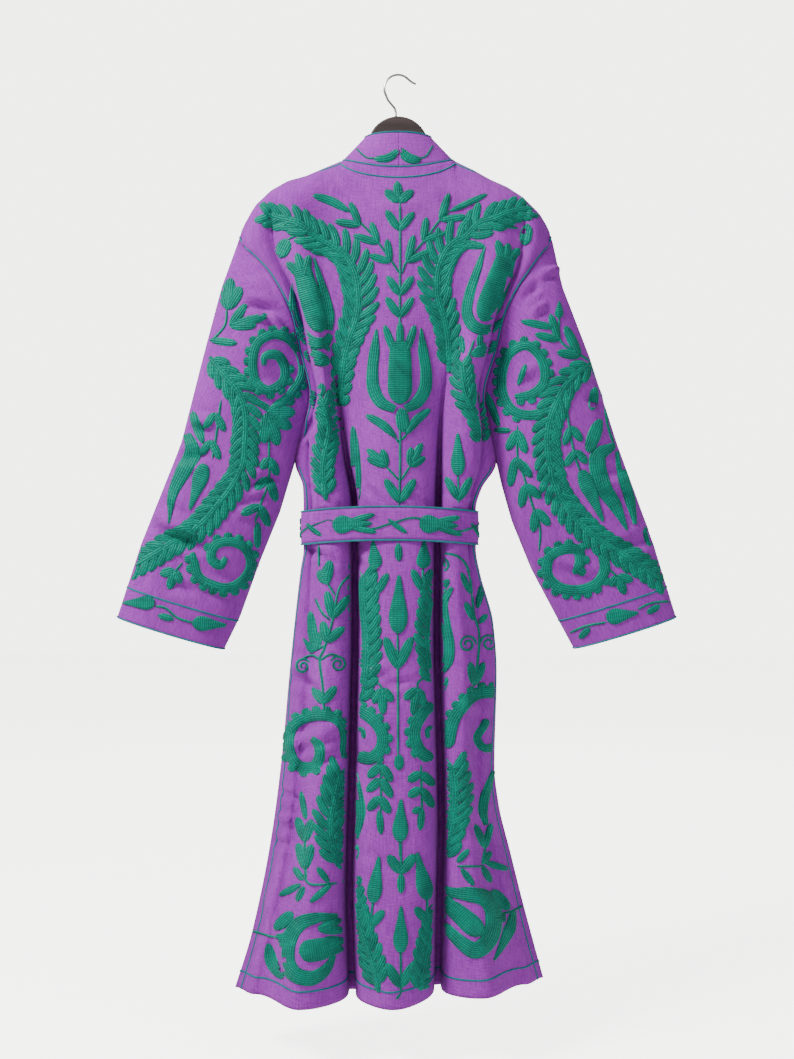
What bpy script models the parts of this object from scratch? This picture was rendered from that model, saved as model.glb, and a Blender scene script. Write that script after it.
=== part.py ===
# Embroidered robe, belted and hung on a hanger, built from its cut pieces. Metres, +Z up.
# The origin is the inside top of the hanger's hook. The robe's back faces -Y, and +X is the wearer's right.
import math

import bmesh
import bpy
import numpy as np

# Cloth and seams
CLOTH = 0.002  # wall of the embroidered cotton
BAND_CLOTH = 0.003  # neckband and belt are folded double
SEAM_GAP = 0.0003
SEAM_STRIP = 0.0015  # flat strip on each side of a seam
CORNER_EASE = 0.0004  # more room where three pieces meet

# Heights down the robe
TIP_Z = -0.244  # shoulder tip, where the sleeve is set in
UNDERARM_Z = -0.565
HEM_Z = -1.330
HEM_LIFT_RIGHT = 0.014  # the hem hangs a little higher on the wearer's right

# Neck and shoulders
NECK_HALF = 0.082
NECK_SIDE_Z = -0.125
NECK_BACK_Z = -0.142
NECK_BACK_Y = -0.030
SHOULDER_ROLL_BACK = 0.055  # height over which the cloth rolls over the hanger
SHOULDER_ROLL_FRONT = 0.036
SHOULDER_SLOPE = (  # x, z, from the wearer's left to right
    (-0.234, TIP_Z),
    (-0.226, -0.222),
    (-0.208, -0.190),
    (-0.185, -0.168),
    (-0.160, -0.154),
    (-0.134, -0.147),
    (-0.111, -0.137),
    (-0.082, -0.125),
    (0.082, -0.125),
    (0.111, -0.139),
    (0.134, -0.152),
    (0.159, -0.163),
    (0.182, -0.178),
    (0.206, -0.202),
    (0.219, -0.224),
    (0.226, TIP_Z),
)

BACK_LINES = {  # fold lines down the back: z, x, y
    "left_edge": (
        (TIP_Z, -0.234, 0.000),
        (-0.2449, -0.2336, -0.0045),
        (-0.2537, -0.2230, -0.0135),
        (-0.288, -0.188, -0.025),
        (-0.324, -0.166, -0.029),
        (-0.356, -0.152, -0.025),
        (-0.402, -0.143, -0.014),
        (-0.468, -0.129, -0.010),
        (-0.533, -0.144, -0.010),
        (-0.557, -0.149, -0.010),
        (UNDERARM_Z, -0.150, -0.004),
        (-0.600, -0.1385, -0.008),
        (-0.630, -0.1372, -0.011),
        (-0.655, -0.1372, -0.012),
        (-0.690, -0.1372, -0.011),
        (-0.722, -0.142, -0.008),
        (-0.868, -0.158, -0.004),
        (-0.977, -0.168, -0.002),
        (-1.103, -0.184, 0.000),
        (-1.252, -0.214, 0.000),
        (HEM_Z, -0.238, 0.000),
    ),
    "left_side_fold": (
        (-0.190, -0.184, -0.030),
        (-0.232, -0.181, -0.022),
        (-0.273, -0.172, -0.022),
        (-0.304, -0.156, -0.022),
        (-0.340, -0.142, -0.020),
        (-0.402, -0.130, -0.014),
        (-0.468, -0.117, -0.012),
        (-0.525, -0.128, -0.014),
        (-0.565, -0.128, -0.017),
        (-0.612, -0.124, -0.020),
        (-0.655, -0.122, -0.022),
        (-0.722, -0.125, -0.024),
        (-0.868, -0.132, -0.032),
        (-1.103, -0.156, -0.031),
        (HEM_Z, -0.206, -0.030),
    ),
    "left_fold": (
        (-0.130, -0.082, -0.026),
        (-0.240, -0.102, -0.033),
        (-0.330, -0.098, -0.038),
        (-0.420, -0.092, -0.034),
        (-0.495, -0.084, -0.022),
        (-0.556, -0.075, -0.010),
        (-0.625, -0.0635, -0.002),
        (-0.690, -0.063, -0.001),
        (-0.800, -0.062, -0.002),
        (-0.911, -0.064, -0.006),
        (-1.078, -0.068, -0.009),
        (-1.170, -0.070, -0.009),
        (HEM_Z, -0.066, -0.009),
    ),
    "right_fold": (
        (-0.130, 0.082, -0.026),
        (-0.240, 0.091, -0.033),
        (-0.330, 0.088, -0.038),
        (-0.420, 0.073, -0.034),
        (-0.480, 0.064, -0.022),
        (-0.519, 0.061, -0.012),
        (-0.625, 0.058, -0.002),
        (-0.690, 0.057, -0.001),
        (-0.823, 0.056, -0.002),
        (-0.911, 0.058, -0.006),
        (-1.078, 0.062, -0.008),
        (-1.170, 0.060, -0.009),
        (HEM_Z, 0.057, -0.009),
    ),
    "right_side_fold": (
        (-0.190, 0.184, -0.030),
        (-0.240, 0.180, -0.022),
        (-0.283, 0.171, -0.022),
        (-0.321, 0.153, -0.021),
        (-0.356, 0.140, -0.019),
        (-0.402, 0.130, -0.014),
        (-0.468, 0.115, -0.012),
        (-0.525, 0.121, -0.014),
        (-0.565, 0.118, -0.017),
        (-0.612, 0.105, -0.020),
        (-0.655, 0.099, -0.022),
        (-0.724, 0.104, -0.024),
        (-0.870, 0.122, -0.034),
        (-1.008, 0.118, -0.034),
        (-1.132, 0.140, -0.032),
        (HEM_Z, 0.186, -0.030),
    ),
    "right_edge": (
        (TIP_Z, 0.226, 0.000),
        (-0.2449, 0.2256, -0.0045),
        (-0.2537, 0.2170, -0.0135),
        (-0.283, 0.194, -0.024),
        (-0.324, 0.167, -0.029),
        (-0.356, 0.153, -0.025),
        (-0.402, 0.143, -0.014),
        (-0.468, 0.127, -0.010),
        (-0.533, 0.138, -0.010),
        (-0.557, 0.1425, -0.010),
        (UNDERARM_Z, 0.143, -0.004),
        (-0.604, 0.121, -0.008),
        (-0.632, 0.1132, -0.011),
        (-0.655, 0.1132, -0.012),
        (-0.690, 0.1132, -0.011),
        (-0.724, 0.119, -0.008),
        (-0.799, 0.139, -0.005),
        (-0.870, 0.144, -0.003),
        (-1.008, 0.141, 0.000),
        (-1.062, 0.147, 0.000),
        (-1.132, 0.164, 0.000),
        (-1.208, 0.183, 0.000),
        (HEM_Z, 0.216, 0.000),
    ),
}
LINE_ORDER = ("left_edge", "left_side_fold", "left_fold", "right_fold", "right_side_fold", "right_edge")

BACK_SWELLS = {  # how far the cloth swells towards -Y between two fold lines: z, y
    "left_strip": (
        (-0.200, -0.026),
        (-0.284, -0.030),
        (-0.324, -0.030),
        (-0.356, -0.024),
        (-0.402, -0.015),
        (-0.468, -0.013),
        (-0.525, -0.015),
        (-0.565, -0.019),
        (-0.612, -0.024),
        (-0.655, -0.030),
        (-0.722, -0.026),
        (HEM_Z, -0.016),
    ),
    "left": (
        (-0.200, -0.036),
        (-0.330, -0.050),
        (-0.468, -0.052),
        (-0.655, -0.054),
        (-0.722, -0.058),
        (-0.868, -0.068),
        (-1.103, -0.078),
        (HEM_Z, -0.092),
    ),
    "centre": (
        (-0.142, -0.030),
        (-0.200, -0.036),
        (-0.330, -0.046),
        (-0.468, -0.054),
        (-0.565, -0.061),
        (-0.655, -0.0625),
        (-0.722, -0.068),
        (-0.868, -0.078),
        (-1.103, -0.086),
        (HEM_Z, -0.093),
    ),
    "right": (
        (-0.200, -0.036),
        (-0.330, -0.050),
        (-0.468, -0.052),
        (-0.655, -0.052),
        (-0.722, -0.055),
        (-0.868, -0.064),
        (-1.103, -0.072),
        (HEM_Z, -0.086),
    ),
    "right_strip": (
        (-0.200, -0.026),
        (-0.284, -0.030),
        (-0.324, -0.030),
        (-0.356, -0.024),
        (-0.402, -0.015),
        (-0.468, -0.013),
        (-0.525, -0.015),
        (-0.565, -0.019),
        (-0.612, -0.023),
        (-0.655, -0.028),
        (-0.724, -0.025),
        (HEM_Z, -0.016),
    ),
}
SWELL_ORDER = ("left_strip", "left", "centre", "right", "right_strip")
SWELL_POWER = 3.0  # how square the top of a swell is
CRISPNESS = (  # 0 is a soft wave and 1 a tube: z, at the two deep folds, at the folds by the arms
    (-0.200, 0.00, 0.10),
    (-0.300, 0.00, 0.60),
    (-0.400, 0.05, 0.90),
    (-0.500, 0.50, 1.00),
    (-0.580, 0.90, 1.00),
    (-0.655, 1.00, 0.90),
    (-0.760, 1.00, 0.30),
    (-0.900, 1.00, 0.00),
    (-1.100, 1.00, 0.00),
    (HEM_Z, 0.75, 0.00),
)
FOLD_FLOOR = (  # z, half width of the bottom of a deep fold
    (-0.200, 0.0006),
    (-0.450, 0.0020),
    (-0.600, 0.0036),
    (HEM_Z, 0.0045),
)
SIDE_ROUND_TOP = 0.030  # the side strips turn round from this far above the underarm
SIDE_ROUND_FADE = 0.060
SIDE_FLAT_Z = -0.760  # and lie flat again below here
SIDE_FLAT_FADE = 0.350

FRONT_ARMHOLE = (  # where the sleeve joins the front panel: z, distance from the middle, y
    (TIP_Z, 0.226, 0.000),
    (-0.2449, 0.2256, 0.004),
    (-0.2537, 0.2200, 0.0115),
    (-0.290, 0.203, 0.020),
    (-0.340, 0.184, 0.026),
    (-0.400, 0.168, 0.028),
    (-0.470, 0.154, 0.024),
    (-0.533, 0.149, 0.014),
    (-0.557, 0.147, 0.005),
    (UNDERARM_Z, 0.1465, -0.004),
)
FRONT_DEPTH = (  # z, y at the middle of the front
    (-0.125, 0.018),
    (-0.200, 0.024),
    (-0.330, 0.032),
    (-0.500, 0.037),
    (-0.655, 0.0385),
    (-0.760, 0.0395),
    (HEM_Z, 0.041),
)
FRONT_SEAM = (  # z, distance of the neckband's seam from the middle
    (-0.125, 0.082),
    (-0.160, 0.080),
    (-0.220, 0.073),
    (-0.300, 0.062),
    (-0.400, 0.048),
    (-0.500, 0.037),
    (-0.600, 0.030),
    (HEM_Z, 0.033),
)
FRONT_FOLDS = (  # x at the belt, x at the hem, depth at the belt, depth at the hem, half width
    (-0.100, -0.165, 0.026, 0.018, 0.011),
    (-0.066, -0.100, 0.014, 0.012, 0.012),
    (0.060, 0.085, 0.020, 0.014, 0.011),
    (0.088, 0.145, 0.024, 0.018, 0.011),
)
FRONT_FOLD_TOP = -0.400
FRONT_FOLD_FADE = 0.200  # height over which the folds grow to their whole depth
FRONT_FOLD_SPREAD = 1.2  # how much wider they are at the hem
UNDERLAP = 0.0065  # how far the left front lies behind the right front
UNDERLAP_FROM = -0.078
UNDERLAP_TO = -0.046

SLEEVES = {  # share of the length, outer x, z, inner x, z, depth at the back, depth at the front
    "right": (
        (0.00, 0.226, TIP_Z, 0.143, UNDERARM_Z, 0.034, 0.028),
        (0.12, 0.240, -0.309, 0.151, -0.598, 0.045, 0.033),
        (0.31, 0.279, -0.411, 0.166, -0.650, 0.048, 0.035),
        (0.54, 0.319, -0.537, 0.194, -0.719, 0.044, 0.034),
        (0.80, 0.370, -0.676, 0.230, -0.787, 0.038, 0.031),
        (1.00, 0.405, -0.789, 0.256, -0.835, 0.035, 0.029),
    ),
    "left": (
        (0.00, -0.234, TIP_Z, -0.150, UNDERARM_Z, 0.034, 0.028),
        (0.12, -0.257, -0.309, -0.158, -0.590, 0.045, 0.033),
        (0.31, -0.284, -0.411, -0.172, -0.636, 0.048, 0.035),
        (0.54, -0.316, -0.537, -0.202, -0.710, 0.044, 0.034),
        (0.80, -0.374, -0.682, -0.230, -0.788, 0.038, 0.031),
        (1.00, -0.409, -0.789, -0.2535, -0.836, 0.035, 0.029),
    ),
}
ARMHOLE_FADE = 0.42  # share of the sleeve over which the armhole's shape dies away

NECKBAND_STEPS = (  # height of the neckband's seam, then the free edge's step across and up from it
    (-0.125, -0.034, 0.035),
    (-0.135, -0.037, 0.037),
    (-0.160, -0.044, 0.034),
    (-0.220, -0.052, 0.024),
    (-0.320, -0.056, 0.014),
    (-0.450, -0.058, 0.008),
    (-0.600, -0.058, 0.000),
    (HEM_Z, -0.058, 0.000),
)
COLLAR_TOP_Z = -0.088
COLLAR_TOP_HALF = 0.048
COLLAR_TOP_Y = -0.024
COLLAR_SEAM_X = 0.0015  # centre back seam of the neckband
COLLAR_DROP = 0.002  # the collar's free edge is this much lower at the sides of the neck
COLLAR_LEAN = 0.001  # the free edge lies this far in front of the seam beside the neck
COLLAR_FOOT_Z = -0.200  # below it the neckband lies flat on the front's form

# Belt
BELT_Z = -0.653
BELT_SAG = 0.007  # the belt's ends lie lower than its middle
BELT_WIDTH = 0.048
BELT_CENTRE_X = -0.012
BELT_CENTRE_Y = -0.012
BELT_HALF_X = 0.129
BELT_HALF_Y = 0.054
BELT_POWER = 2.4
BELT_EASE = 0.0004  # clearance between belt and cloth
BELT_TOLERANCE = 0.0015  # the cloth stays inside the belt this far above and below it
BELT_SPRING = 0.030  # how far the cloth springs out beside the belt
BELT_RELEASE = 0.090  # height over which the cloth is free of the belt again
BELT_FLARE = 0.5  # slope of the limit past that height
BELT_SPREAD = 1.6  # how much wider the limit grows as the cloth springs out
KNOT_SIZE = (0.050, 0.022, 0.044)
KNOT_X = 0.004
KNOT_WAIST = 0.22  # how much narrower the knot is at its top and foot
KNOT_EDGE = 0.004
TAIL_LENGTHS = (0.430, 0.390)
TAIL_WIDTH = 0.046
TAIL_STAND_OFF = (0.0135, 0.0078)  # how far the right and the left end hang in front of the belt
TAIL_SPREAD = (0.011, 0.024)  # sideways at the knot, and as much more at the free end
TAIL_GATHER = 0.42  # share of its width in which an end leaves the knot
TAIL_OPENS = 0.15  # length over which it opens to its whole width
TAIL_WAVE = 0.002
TAIL_ROWS = 10

# Hanger
HANGER_THICK = 0.007
HANGER_EDGE = 0.0025  # rounding of its edges
HANGER_DROP = 0.0033  # its top line lies this far under the shoulder line
HANGER_HALF = 0.188
HANGER_ARM = 0.026
HUMP_RADIUS = 0.0445
HUMP_TOP_Z = -0.0590
WIRE = 0.00175
HOOK_RADIUS = 0.020
HOOK_STEM_X = -0.003
HOOK_STEM = (  # x, z up the stem
    (HOOK_STEM_X, -0.0535),
    (-0.0045, -0.0475),
    (-0.0095, -0.0415),
    (-0.0148, -0.0350),
)
HOOK_END = (  # x, z of the flared end
    (0.0185, -0.0078),
    (0.0222, -0.0103),
    (0.0262, -0.0118),
)

# Meshes
STRIP_COLUMNS = 3
SIDE_COLUMNS = 9
CENTRE_COLUMNS = 11
ARMHOLE_TURNS = (0, 6, 20, 38, 55, 72, 90, 108, 126, 144, 162, 180)
WAIST_ROWS = 3
SKIRT_ROWS = 13
FRONT_COLUMNS = 15
SLEEVE_ROWS = 11
NECKBAND_COLUMNS = 3
BELT_STEPS = 60


def through(table, z, column=1):
    """The column's value at height z, on a smooth curve through the rows that never overshoots them."""
    rows = np.array(table, float)[::-1]
    h, v = rows[:, 0], rows[:, column]
    step = np.diff(h)
    slope = np.diff(v) / step
    total = slope[:-1] + slope[1:]
    product = slope[:-1] * slope[1:]
    middle = np.where(product > 0, 2 * product / np.where(total == 0, 1, total), 0.0)
    tangent = np.concatenate([slope[:1], middle, slope[-1:]])
    z = np.clip(np.asarray(z, float), h[0], h[-1])
    i = np.clip(np.searchsorted(h, z) - 1, 0, len(step) - 1)
    t = (z - h[i]) / step[i]
    return (
        v[i] * (2 * t**3 - 3 * t**2 + 1)
        + tangent[i] * step[i] * (t**3 - 2 * t**2 + t)
        + v[i + 1] * (3 * t**2 - 2 * t**3)
        + tangent[i + 1] * step[i] * (t**3 - t**2)
    )


def smooth(t):
    t = np.clip(t, 0.0, 1.0)
    return t * t * (3 - 2 * t)


def tube(t, power):
    """1 in the middle of -1 to 1, falling to 0 with steep ends."""
    return (1 - np.clip(np.abs(t), 0, 1) ** power) ** (1 / power)


def quarter(t):
    """0 to 1, starting steep and ending level."""
    return np.sqrt(1 - (1 - np.clip(t, 0, 1)) ** 2)


def top_z(x):
    """Height of the back's top edge: the neck seam, then the shoulder seam."""
    share = np.clip(x, -NECK_HALF, NECK_HALF) / NECK_HALF
    neck = NECK_BACK_Z + (NECK_SIDE_Z - NECK_BACK_Z) * share**2
    slope = np.array(SHOULDER_SLOPE)
    return np.where(np.abs(x) < NECK_HALF, neck, np.interp(x, slope[:, 0], slope[:, 1]))


def top_y(x):
    """Depth of the back's top edge, which is 0 along the shoulders."""
    return NECK_BACK_Y * tube(np.clip(x, -NECK_HALF, NECK_HALF) / NECK_HALF, 2)


def neck_width(x):
    """Unit steps from the body into the collar: up at the back, leaning in at the sides."""
    lean = (np.clip(x, -NECK_HALF, NECK_HALF) / NECK_HALF) ** 4
    step = np.stack([-0.7 * lean * np.sign(x), np.zeros(len(x)), 1 - 0.3 * lean], 1)
    return step / np.linalg.norm(step, axis=1)[:, None]


def belt_z(x):
    return BELT_Z - BELT_SAG * ((x - BELT_CENTRE_X) / BELT_HALF_X) ** 2


def belt_ring():
    """Points round the belt's outer side as seen from above, starting at the wearer's right."""
    angle = np.linspace(0, 2 * math.pi, BELT_STEPS, endpoint=False)
    c, s = np.cos(angle), np.sin(angle)
    x = BELT_CENTRE_X + BELT_HALF_X * np.sign(c) * np.abs(c) ** (2 / BELT_POWER)
    y = BELT_CENTRE_Y + BELT_HALF_Y * np.sign(s) * np.abs(s) ** (2 / BELT_POWER)
    return x, y


def belt_inside():
    """Points round the belt's inner side."""
    x, y = belt_ring()
    step = np.stack([np.roll(x, -1) - x, np.roll(y, -1) - y])
    step /= np.linalg.norm(step, axis=0)
    out = np.stack([step[1] + np.roll(step[1], 1), -step[0] - np.roll(step[0], 1)])
    out /= np.linalg.norm(out, axis=0)
    return x - out[0] * BAND_CLOTH, y - out[1] * BAND_CLOTH


def belt_limit(x, z):
    """How far the cloth may reach from the belt's middle plane at x, inside the belt and near it."""
    edge = belt_z(np.clip(x, BELT_CENTRE_X - BELT_HALF_X, BELT_CENTRE_X + BELT_HALF_X))
    away = np.maximum(np.abs(z - edge) - BELT_WIDTH / 2 - BELT_TOLERANCE, 0)
    free = BELT_SPRING * quarter(away / BELT_RELEASE) + BELT_FLARE * np.maximum(away - BELT_RELEASE, 0)
    ring_x, ring_y = belt_inside()
    half = BELT_STEPS // 2 + 1
    stretch = 1 + BELT_SPREAD * free / BELT_HALF_X
    place = BELT_CENTRE_X + (x - BELT_CENTRE_X) / stretch
    inside = np.interp(place, ring_x[:half][::-1], (ring_y[:half] - BELT_CENTRE_Y)[::-1], left=0, right=0)
    return np.maximum(inside - BELT_EASE, 0) + free * np.minimum(inside / BELT_SPRING, 1)


def back_columns():
    """The swell and the share across it of every column of the back, from the wearer's left."""
    counts = (STRIP_COLUMNS, SIDE_COLUMNS, CENTRE_COLUMNS, SIDE_COLUMNS, STRIP_COLUMNS)
    columns = []
    for swell, count in enumerate(counts):
        for i in range(count + 1):
            share = i / count
            if swell in (1, 2, 3):
                share = 0.5 - 0.5 * math.cos(math.pi * share)
            if not columns or (swell, i) not in ((1, 0), (4, 0)):
                columns.append((swell, share))
    return np.array(columns)


def back_point(swell, share, z):
    """x and y of the back panel at height z, for arrays of swells, shares across them and heights."""
    swell = swell.astype(int)
    lines = [(through(BACK_LINES[n], z, 1), through(BACK_LINES[n], z, 2)) for n in LINE_ORDER]
    crests = [through(BACK_SWELLS[n], z) for n in SWELL_ORDER]
    floor = through(FOLD_FLOOR, z)
    deep, side = through(CRISPNESS, z, 1), through(CRISPNESS, z, 2)
    x, y = np.zeros(len(z)), np.zeros(len(z))
    round_side = smooth((UNDERARM_Z + SIDE_ROUND_TOP - z) / SIDE_ROUND_FADE)
    round_side = round_side * (1 - smooth((SIDE_FLAT_Z - z) / SIDE_FLAT_FADE))
    for n in range(5):
        (x0, y0), (x1, y1) = lines[n], lines[n + 1]
        x0 = x0 + floor * (n in (2, 3))
        x1 = x1 - floor * (n in (1, 2))
        here = swell == n
        if n in (0, 4):
            out = share if n == 0 else 1 - share
            edge_y, fold_y = (y0, y1) if n == 0 else (y1, y0)
            lift = quarter(out) * round_side + smooth(out) * (1 - round_side)
            bulge = np.minimum(crests[n] - 0.5 * (edge_y + fold_y), 0)
            place = edge_y + (fold_y - edge_y) * lift + bulge * np.sin(math.pi * out) * (1 - 0.8 * round_side)
        else:
            across = 2 * share - 1
            crisp_left = side if n == 1 else deep
            crisp_right = side if n == 3 else deep
            crisp = np.where(across < 0, crisp_left, crisp_right)
            wave = 0.5 + 0.5 * np.cos(math.pi * across)
            shape = crisp * tube(across, SWELL_POWER) + (1 - crisp) * wave
            bottom = y0 + (y1 - y0) * smooth(share)
            place = bottom + (crests[n] - bottom) * shape
        x = np.where(here, x0 + (x1 - x0) * share, x)
        y = np.where(here, place, y)
    roll = quarter((top_z(x) - z) / SHOULDER_ROLL_BACK)
    roll += (1 - roll) * np.where(swell == 0, 1 - share, np.where(swell == 4, share, 0)) ** 2
    y = top_y(x) + (y - top_y(x)) * roll
    return x, np.maximum(y, BELT_CENTRE_Y - belt_limit(x, z))


def edge_line(side, z):
    """x and y of the side seam, side being 1 for the wearer's right and -1 for the left."""
    table = BACK_LINES["right_edge" if side > 0 else "left_edge"]
    return through(table, z, 1), through(table, z, 2)


def front_edge(side, z):
    """x and y of the front panel's outer edge: its armhole, then the side seam."""
    seam_x, seam_y = edge_line(side, z)
    down = smooth((TIP_Z - z) / (TIP_Z - UNDERARM_Z))
    tip_x, _ = edge_line(side, TIP_Z)
    end_x, _ = edge_line(side, UNDERARM_Z)
    arm_x, arm_y = side * through(FRONT_ARMHOLE, z, 1), through(FRONT_ARMHOLE, z, 2)
    arm_x = arm_x + (tip_x - side * FRONT_ARMHOLE[0][1]) * (1 - down)
    arm_x = arm_x + (end_x - side * FRONT_ARMHOLE[-1][1]) * down
    below = z < UNDERARM_Z
    return np.where(below, seam_x, arm_x), np.where(below, seam_y, arm_y)


def front_y(x, z, side):
    """Depth of the front at x and z, on the front panel of that side."""
    left_x, left_y = front_edge(-1, z)
    right_x, right_y = front_edge(1, z)
    across = (2 * x - left_x - right_x) / (right_x - left_x)
    edge = np.where(across < 0, left_y, right_y)
    depth = through(FRONT_DEPTH, z)
    closed = smooth((UNDERARM_Z + 0.05 - z) / 0.08)
    dome = closed * tube(across, 2.6) + (1 - closed) * (1 - np.clip(np.abs(across), 0, 1) ** 5)
    y = edge + (depth - edge) * dome
    for belt_x, hem_x, belt_depth, hem_depth, half in FRONT_FOLDS:
        down = np.clip((BELT_Z - z) / (BELT_Z - HEM_Z), 0, 1)
        place = belt_x + (hem_x - belt_x) * down
        fold = (belt_depth + (hem_depth - belt_depth) * down) * smooth((FRONT_FOLD_TOP - z) / FRONT_FOLD_FADE)
        spread = half * (1 + FRONT_FOLD_SPREAD * down)
        y = y - fold * np.exp(-(((x - place) / spread) ** 2)) * (np.abs(across) < 1)
    under_seam = NECK_SIDE_Z - z - np.maximum(NECK_SIDE_Z - top_z(x), 0) * (np.abs(x) > NECK_HALF)
    y = y * quarter(under_seam / SHOULDER_ROLL_FRONT)
    y = np.minimum(y, BELT_CENTRE_Y + belt_limit(x, z))
    if side < 0:
        y = y - UNDERLAP * smooth((x - UNDERLAP_FROM) / (UNDERLAP_TO - UNDERLAP_FROM))
    return y


def armhole(side):
    """Rows of the armhole from the shoulder tip to the underarm, over the back and over the front."""
    turn = np.radians(ARMHOLE_TURNS)
    z = TIP_Z + (UNDERARM_Z - TIP_Z) * (1 - np.cos(turn)) / 2
    back_x, back_y = edge_line(side, z)
    front_x, front_arm_y = front_edge(side, z)
    return turn, z, np.stack([back_x, back_y, z], 1), np.stack([front_x, front_arm_y, z], 1)


def seam_step(curve, turn, side, facing, under):
    """Unit steps from the body towards the sleeve along an armhole.

    under is the cloth's outward side at the underarm.
    """
    tangent = np.gradient(curve, axis=0)
    tangent[0] = [0.0, facing, 0.0]
    tangent[-1] = [0.0, -facing, 0.0]
    tip = np.array([0.95 * side, 0.0, 0.31])
    out = np.array([0.0, facing, 0.0])
    c, s = np.cos(turn)[:, None], np.sin(turn)[:, None]
    normal = np.where(c > 0, c * tip, -c * np.array(under)) + s * out
    step = side * facing * np.cross(tangent, normal)
    return step / np.linalg.norm(step, axis=1)[:, None]


def grid_object(name, points, material, thickness, closed=False, sharp=60):
    """An object from a grid of points, with a wall of that thickness on its inner side.

    closed joins the last column to the first.
    """
    rows, columns = points.shape[:2]
    bm = bmesh.new()
    bmesh.ops.create_grid(bm, x_segments=columns - 1, y_segments=rows - 1, size=0.5)
    bm.verts.ensure_lookup_table()
    order = sorted(bm.verts, key=lambda v: (round(-v.co.y * 4096), round(v.co.x * 4096)))
    for v, p in zip(order, points.reshape(-1, 3)):
        v.co = p
    if closed:
        bmesh.ops.remove_doubles(bm, verts=bm.verts, dist=0.00002)
    mesh = bpy.data.meshes.new(name)
    bm.to_mesh(mesh)
    bm.free()
    obj = bpy.data.objects.new(name, mesh)
    robe.objects.link(obj)
    wall = obj.modifiers.new("wall", "SOLIDIFY")
    wall.thickness = thickness
    wall.offset = -1
    wall.use_rim = True
    mesh.materials.append(material)
    mesh.shade_smooth()
    mesh.set_sharp_from_angle(angle=math.radians(sharp))
    return obj


def cloth_material(name, colour, roughness=0.85, metallic=0.0):
    material = bpy.data.materials.new(name)
    material.use_nodes = True
    shader = material.node_tree.nodes["Principled BSDF"]
    shader.inputs["Base Color"].default_value = (*colour, 1.0)
    shader.inputs["Roughness"].default_value = roughness
    shader.inputs["Metallic"].default_value = metallic
    return material


def hem_lift(x):
    return HEM_LIFT_RIGHT * smooth((x + 0.02) / 0.16)


def row_heights(top, x_belt, x_hem):
    """Heights of every row in a column: down the armhole, past the belt, and on to the hem."""
    turn = np.radians(ARMHOLE_TURNS)
    upper = [top + (UNDERARM_Z - top) * (1 - math.cos(t)) / 2 for t in turn]
    belt = belt_z(np.clip(x_belt, BELT_CENTRE_X - BELT_HALF_X, BELT_CENTRE_X + BELT_HALF_X))
    belt_top, belt_foot = belt + BELT_WIDTH / 2, belt - BELT_WIDTH / 2
    waist = [UNDERARM_Z + (belt_top - UNDERARM_Z) * i / WAIST_ROWS for i in range(1, WAIST_ROWS + 1)]
    end = HEM_Z + hem_lift(x_hem)
    skirt = [belt_foot + (end - belt_foot) * (i / SKIRT_ROWS) ** 1.3 for i in range(1, SKIRT_ROWS + 1)]
    return np.array([*upper, *waist, belt, belt_foot, *skirt])


def make_back(material):
    columns = back_columns()
    swell, share = columns[:, 0], columns[:, 1]
    start_x, _ = back_point(swell, share, np.full(len(swell), -0.100))
    waist_x, _ = back_point(swell, share, np.full(len(swell), BELT_Z))
    end_x, _ = back_point(swell, share, np.full(len(swell), HEM_Z))
    heights = row_heights(top_z(start_x), waist_x, end_x)
    heights[1, np.abs(start_x) < NECK_HALF - 0.001] -= 2 * SEAM_STRIP
    grid = []
    for z in heights:
        x, y = back_point(swell, share, z)
        grid.append(np.stack([x, y, z], 1))
    grid = np.array(grid)
    grid[1:, [0, -1], 1] -= SEAM_GAP / 2
    grid[len(ARMHOLE_TURNS) - 1, [0, -1], 1] -= CORNER_EASE
    on_neck = np.abs(grid[0, :, 0]) < NECK_HALF - 0.001
    width = neck_width(grid[0, :, 0])
    corner = np.abs(np.abs(grid[0, :, 0]) - NECK_HALF) < 0.0001
    grid[0, ~on_neck, 1] = -SEAM_GAP / 2
    grid[0, corner, 1] -= 2 * CORNER_EASE
    grid[0, on_neck] -= width[on_neck] * SEAM_GAP
    strip_row = grid[0].copy()
    strip_row[~on_neck, 1] -= SEAM_STRIP
    strip_row[on_neck] -= width[on_neck] * SEAM_STRIP
    strip_row[corner] -= width[corner] * SEAM_STRIP * 0.7
    grid = np.insert(grid, 1, strip_row, axis=0)
    return grid_object("back", add_side_strips(grid, -1.0, (-1, 1)), material, CLOTH)


def add_side_strips(grid, facing, sides):
    """Adds a narrow column beside each outer edge, so that the wall turns square to the seam there."""
    for side in sides:
        edge = grid[:, 0 if side == sides[0] else -1]
        along = edge[2] - edge[0]
        edge[1] = edge[0] + along * SEAM_STRIP / np.linalg.norm(along)
        edge[0, 1] += facing * CORNER_EASE
        strip = edge.copy()
        turn, _, back, front = armhole(side)
        step = seam_step(back if facing < 0 else front, turn, side, facing, (side, 0, 0))
        rows = len(turn)
        strip[1:rows] -= SEAM_STRIP * step[:-1]
        strip[0] += SEAM_STRIP * np.array([-0.31 * side, 0.0, 0.95])
        strip[rows, :2] += SEAM_STRIP * np.array([-0.2 * side, 0.98 * facing])
        strip[rows + 1 :, 1] += facing * SEAM_STRIP
        grid = np.insert(grid, 1 if side == sides[0] else grid.shape[1] - 1, strip, axis=1)
    return grid


def front_heights(side, share):
    """Row heights of the front's columns, share being 0 at the outer edge and 1 at the neckband."""
    tip_x, _ = edge_line(side, TIP_Z)
    belt_x, _ = edge_line(side, BELT_Z)
    hem_x, _ = edge_line(side, HEM_Z)
    start = tip_x + (side * NECK_HALF - tip_x) * share
    waist = belt_x + (side * through(FRONT_SEAM, BELT_Z) - belt_x) * share
    end = hem_x + (side * through(FRONT_SEAM, HEM_Z) - hem_x) * share
    return row_heights(top_z(start), waist, end)


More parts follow.
